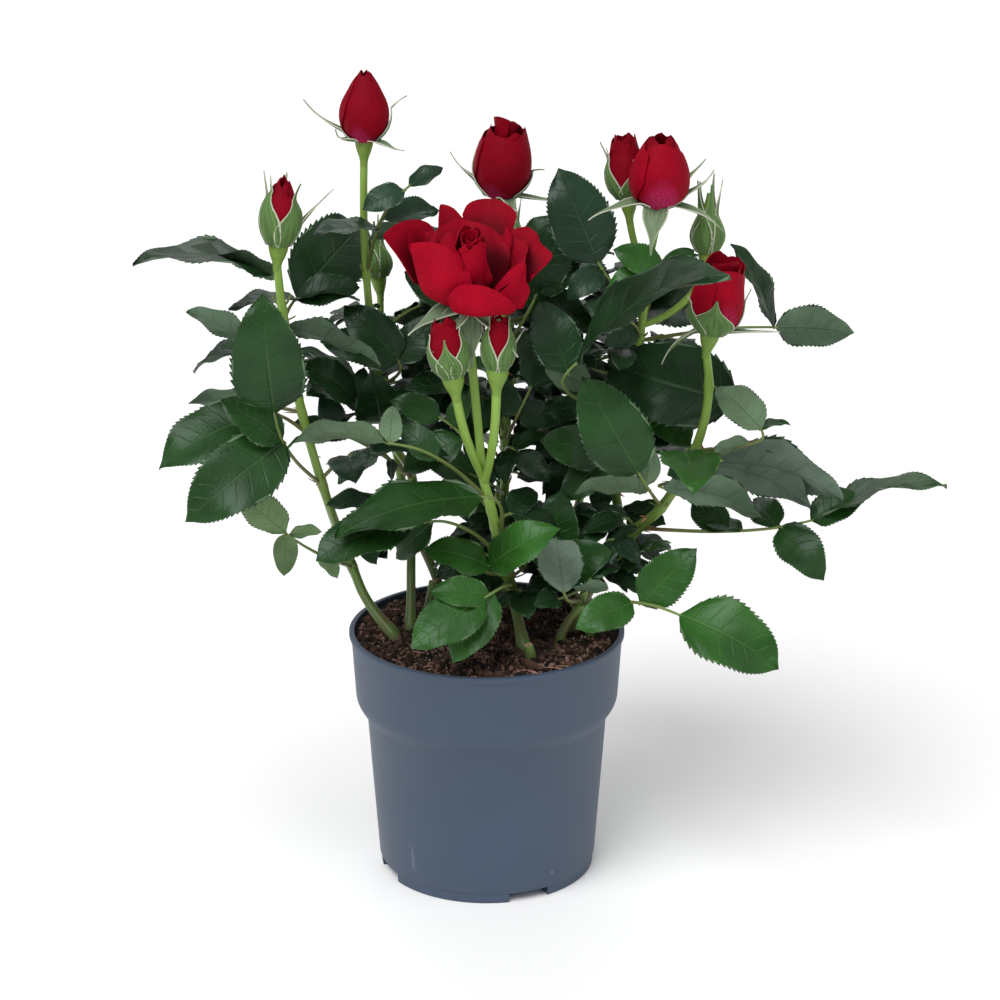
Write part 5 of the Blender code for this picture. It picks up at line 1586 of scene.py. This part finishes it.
def addScroll(pile, axes, seat, look, start):  # the rolled inner petals
    foot, top, width, slant, slantTurn = look["scroll"]

    def place(v, u):
        angle = start + 360 * petalForm["scrollTurns"] * u
        radius = look["width"] / 2 * width * blend(petalForm["scrollHeart"], 1.0, u)
        radius *= 0.80 + 0.10 * v + 0.16 * ease(0.72, 1, v)
        high = blend(0.93, 1.0, u) * top + slant * cos(radians(angle - slantTurn)) * u
        high += petalForm["scrollWave"] * sin(radians(angle * 2.5))
        return seat + axes[0] * (look["height"] * blend(foot, high, v)) + aimAt(axes, angle) * radius

    pile.add(*petalShape(sheet(petalForm["scrollRows"], petalForm["scrollColumns"], place)))


def addBud(pile, axes, seat, look, dice):
    tall, wide = petalForm["coreHeight"], petalForm["coreWidth"]
    core = [(t * look["height"] * tall, look["width"] * wide * spline(look["body"], t * tall))
            for t in petalForm["core"]]
    rolled = look.get("scroll")
    if rolled:
        core = core[:4]
        addScroll(pile, axes, seat, look, dice.uniform(0, 360))
    pile.add(*lathe(axes, seat, core, petalForm["coreSides"]))
    for turn, half, reach, flare in look["wraps"]:
        inner = reach + petalForm["innerRise"] if rolled else blend(reach, 1.0, dice.uniform(0.6, 1.0))
        under = (turn + petalForm["innerTurn"], half * petalForm["innerHalf"], inner, flare * 0.5)
        addWrap(pile, axes, seat, look, under, petalForm["innerScale"], dice)
    for wrap in look["wraps"]:
        addWrap(pile, axes, seat, look, wrap, 1, dice)


def addOpenPetal(pile, axes, seat, petal, dice):
    last = petalForm["openRows"] - 1
    outward = aimAt(axes, petal.turn)
    across = aimAt(axes, petal.turn + 90)
    phase = dice.uniform(0, 6)
    lines = []
    middle = seat + outward * petalForm["openFoot"]
    for v in steps(last + 1):
        opened = petal.opening * ease(-0.45, 0.35, v)
        angle = radians(opened + petal.bend * v + petal.roll * ease(0.70, 1.02, v))
        lines.append((middle, axes[0] * sin(angle) - outward * cos(angle)))
        middle = middle + swung(axes[0], outward, angle) * (petal.length / last)

    def place(v, side):
        u = 2 * side - 1
        rim = 1 - petalForm["openPoint"] * abs(u) ** 1.9 + petalForm["point"] * exp(-(u * 6) ** 2)
        near = v * rim * last
        low = min(int(near), last - 1)
        centre = lines[low][0].lerp(lines[low + 1][0], near - low)
        inward = lines[low][1].lerp(lines[low + 1][1], near - low).normalized()
        reach = abs(u) * petal.width / 2 * spline(flowerLook["openPetal"], v)
        bowl = petal.cup * blend(0.55, 1.35, v)
        turned = min(reach / bowl, petalForm["mostBowl"])
        rise = bowl * (1 - cos(turned))
        rise -= petal.roll * petalForm["rolledSide"] * ease(0.72, 1.0, abs(u)) * ease(0.3, 0.9, v)
        rise += petal.ruffle * sin(4.4 * u + phase) * ease(0.35, 1.0, v)
        rise += petal.ruffle * petalForm["fineRuffle"] * sin(11 * u + phase) * ease(0.75, 1.0, v)
        return centre + across * (bowl * sin(turned) * (1 if u > 0 else -1)) + inward * rise

    pile.add(*petalShape(sheet(last + 1, petalForm["openColumns"], place)))


# The bloom's petals and the buds': name, height and share of the pale claw, brightness, and painted shade low
# down. The bloom's inner side gets a lower brightness and full darkening towards its foot, both painted shade
# for the hollow of the bloom.
petalSkins = (
    # the bloom's inner side: brightness 0.8 and darkening at the foot are painted shade
    (("rose_petal_outer", 0.14, 0.35), ("rose_petal_inner_painted_shade", 0.10, 0.0, 0.8, 1.0),
     ("rose_petal_streaked", 0.62, 0.8)),
    (("bud_petal_outer", 0.34, 0.6, 0.62), ("bud_petal_inner", 0.14, 0.45, 0.62),
     ("bud_petal_streaked", 0.62, 0.85, 0.8)),
)


def petalMaterial(name, clawHeight, clawShare, bright=1.0, paintedShadeLow=0.0):
    red = shade(flowerLook["red"], bright)
    skin = Skin(name, red, 0.62, {"Specular IOR Level": 0.07, "Sheen Weight": 0.10, "Sheen Roughness": 0.35,
                                  "Sheen Tint": (1.0, 0.02, 0.12, 1.0)})
    uv = addNode(skin.tree, "ShaderNodeSeparateXYZ", {"Vector": skin.uv}).outputs
    streak = skin.span(skin.noise(2.2, 3, (26, 1.6, 1), skin.uv), 0.30, 0.75)
    cloud = skin.span(skin.noise(80), 0.3, 0.75)
    velvet = skin.span(skin.noise(1500), 0.35, 0.7)
    # random streaks, clouds and velvet darken the petal a little; the same share also carries the painted
    # shade below
    toneAndPaintedShade = skin.times(skin.math("ADD", skin.math("ADD", streak, cloud), velvet), 0.2)
    # painted shade: the petal grows darker towards its foot, by the share paintedShadeLow, for the shade deep
    # inside the bloom
    toneAndPaintedShade = skin.math("MAXIMUM", toneAndPaintedShade, skin.span(uv["Y"], 1.0, 0.55, 0.0, paintedShadeLow))
    plain = skin.mix(toneAndPaintedShade, red, shade(flowerLook["deep"], bright))
    middle = skin.span(skin.fromMiddle(uv["X"]), 0.42, 0.0, 0.35, 1.0)
    claw = skin.span(skin.math("DIVIDE", uv["Y"], skin.times(middle, clawHeight)), 1.0, 0.1)
    claw = skin.times(claw, skin.span(velvet, 0.0, 1.0, clawShare, clawShare * 0.5))
    skin.paint(claw, plain, flowerLook["claw"])
    return skin.bump(skin.math("ADD", streak, skin.noise(1400)), 0.22, 0.00025)


def sepalMaterial(name, colour):
    skin = Skin(name, colour, 0.62, {"Specular IOR Level": 0.2, "Sheen Weight": 0.12, "Sheen Roughness": 0.4})
    across = skin.times(skin.fromMiddle(skin.axis(skin.uv, "X")), 2.0)
    edge = skin.span(skin.math("ADD", across, skin.times(skin.noise(1200), 0.12)), 0.93, 1.03)
    streak = skin.span(skin.noise(1.6, 2, (9, 1.2, 1), skin.uv), 0.3, 0.7)
    plain = skin.mix(streak, shade(colour, 0.72), shade(colour, 1.3))
    skin.paint(edge, plain, flowerLook["sepalEdge"])
    return skin.bump(skin.noise(1100, 3), 0.5, 0.0004)


def hipMaterial():
    skin = Skin("rose_hip_green", flowerLook["hipLow"], 0.45, {"Specular IOR Level": 0.3})
    rise = skin.axis(skin.uv, "Y")
    mottle = skin.span(skin.noise(500, 3), 0.35, 0.7, 0.0, 0.45)
    share = skin.math("MAXIMUM", skin.span(rise, 0.55, 1.0), mottle)
    skin.paint(share, flowerLook["hipLow"], flowerLook["hipHigh"])
    return skin.bump(skin.noise(900), 0.15, 0.0003)


def buildFlowers(stems):
    dice = random.Random(flowerLook["seed"])
    hips, sepals, buds, bloom = Pile(), Pile(), Pile(), Pile()
    for name, shoot in shoots.items():
        for order, flower in enumerate(shoot.flowers):
            stalk = stalkLine(flower, stems[name])
            foot = stalk[-1] if stalk else stems[name][-1]
            axes = flowerAxes(flower)
            radius = shoot.radii[1]
            hip = [(height, share * radius) for height, share in flowerLook["hip"]]
            hips.add(*lathe(axes, foot, hip, flowerLook["hipSides"]))
            seat = foot + axes[0] * flowerLook["seat"]
            if flower.kind == "green":
                green = flowerLook["green"]
                look = {"height": flower.height * green["height"], "width": flower.width * green["width"],
                        "body": green["body"]}
                core = [(t * look["height"], look["width"] / 2 * spline(look["body"], t))
                        for t in green["core"]]
                hips.add(*lathe(axes, seat, core, petalForm["coreSides"]))
                look["sepals"] = []
                for k in range(5):
                    length = flower.height * (0.98 + 0.05 * (k % 3))
                    look["sepals"].append((72 * k + 12, 2, 1 + 3 * (k % 3), length, green["sepalWidth"]))
            elif flower.kind == "bloom":
                look = bloomLook
                for petal in look["petals"]:
                    addOpenPetal(bloom, axes, seat, petal, dice)
                for net in bloomNets:
                    addNetPetal(bloom, seat, net, dice)
                addBud(bloom, axes, seat, look, dice)
            else:
                look = budLooks[f"{name}_{order}"]
                addBud(buds, axes, seat, look, dice)
            free = dict(look, width=0.0) if flower.kind == "bloom" else look
            rim = foot + axes[0] * flowerLook["sepalSeat"]
            for sepal in look["sepals"]:
                addSepal(sepals, axes, rim, hip[-2][1], sepal, free, seat)
    petals, shut = [[petalMaterial(*petal) for petal in kind] for kind in petalSkins]
    outer = sepalMaterial("sepal_outer", flowerLook["sepalOuter"])
    inner = sepalMaterial("sepal_inner", flowerLook["sepalInner"])
    whole = list(shoots)
    for name, pile, skins, nodes in (
            ("bud_petals", buds, shut, whole), ("bloom_petals", bloom, petals, ["shoot_centre"]),
            ("sepals", sepals, [outer, inner], whole), ("rose_hips", hips, [hipMaterial()], whole)):
        buildPiece(name, pile, skins, nodes, sharpAngle=60)


# Stage: a plain pale floor, soft studio light, and the camera

stage = {
    "floor": 14.0, "floorColour": (0.97, 0.97, 0.97), "worldColour": (1.0, 1.0, 1.0), "worldStrength": 0.40,
    "lights": {  # the way each falls, how wide it looks, and its strength
        "key_light": ((0.42, 0.62, -0.95), 42, 2.3), "fill_light": ((-0.75, 0.45, -0.6), 60, 0.55),
        "rim_light": ((0.1, -0.8, -0.75), 50, 0.5)},
    "camera": (0.00504, -0.9, 0.4424), "pitch": 71.83, "lens": 90.85, "sensor": 36.0,
}


def buildStage():
    half = stage["floor"]
    mesh = bpy.data.meshes.new("studio_floor")
    corners = [(-half, -half, 0), (half, -half, 0), (half, half, 0), (-half, half, 0)]
    mesh.from_pydata(corners, [], [(0, 1, 2, 3)])
    skin = Skin("studio_floor", stage["floorColour"], 0.8, {"Specular IOR Level": 0.2})
    mesh.materials.append(skin.material)
    addObject("studio_floor", mesh)
    world = bpy.data.worlds.new("studio")
    world.use_nodes = True
    sky = world.node_tree.nodes["Background"]
    sky.inputs["Color"].default_value = (*stage["worldColour"], 1.0)
    sky.inputs["Strength"].default_value = stage["worldStrength"]
    bpy.context.scene.world = world
    for name, (aim, width, power) in stage["lights"].items():
        light = bpy.data.lights.new(name, "SUN")
        light.angle = radians(width)
        light.energy = power
        lamp = addObject(name, light)
        lamp.rotation_euler = Vector(aim).to_track_quat("-Z", "Y").to_euler()
    lens = bpy.data.cameras.new("camera")
    lens.lens = stage["lens"]
    lens.sensor_width = stage["sensor"]
    camera = addObject("camera", lens)
    camera.location = stage["camera"]
    camera.rotation_euler = (radians(stage["pitch"]), 0, 0)
    bpy.context.scene.camera = camera
    bpy.context.scene.view_settings.view_transform = "Standard"


buildPot()
print("pot built")
buildSoil()
print("soil built")
grown, stems = growLeaves()
print("leaf places chosen")
buildLimbs(grown, stems)
buildPrickles()
print("limbs built")
buildLeaves(grown)
print("leaves built")
buildFlowers(stems)
print("flowers built")
buildStage()
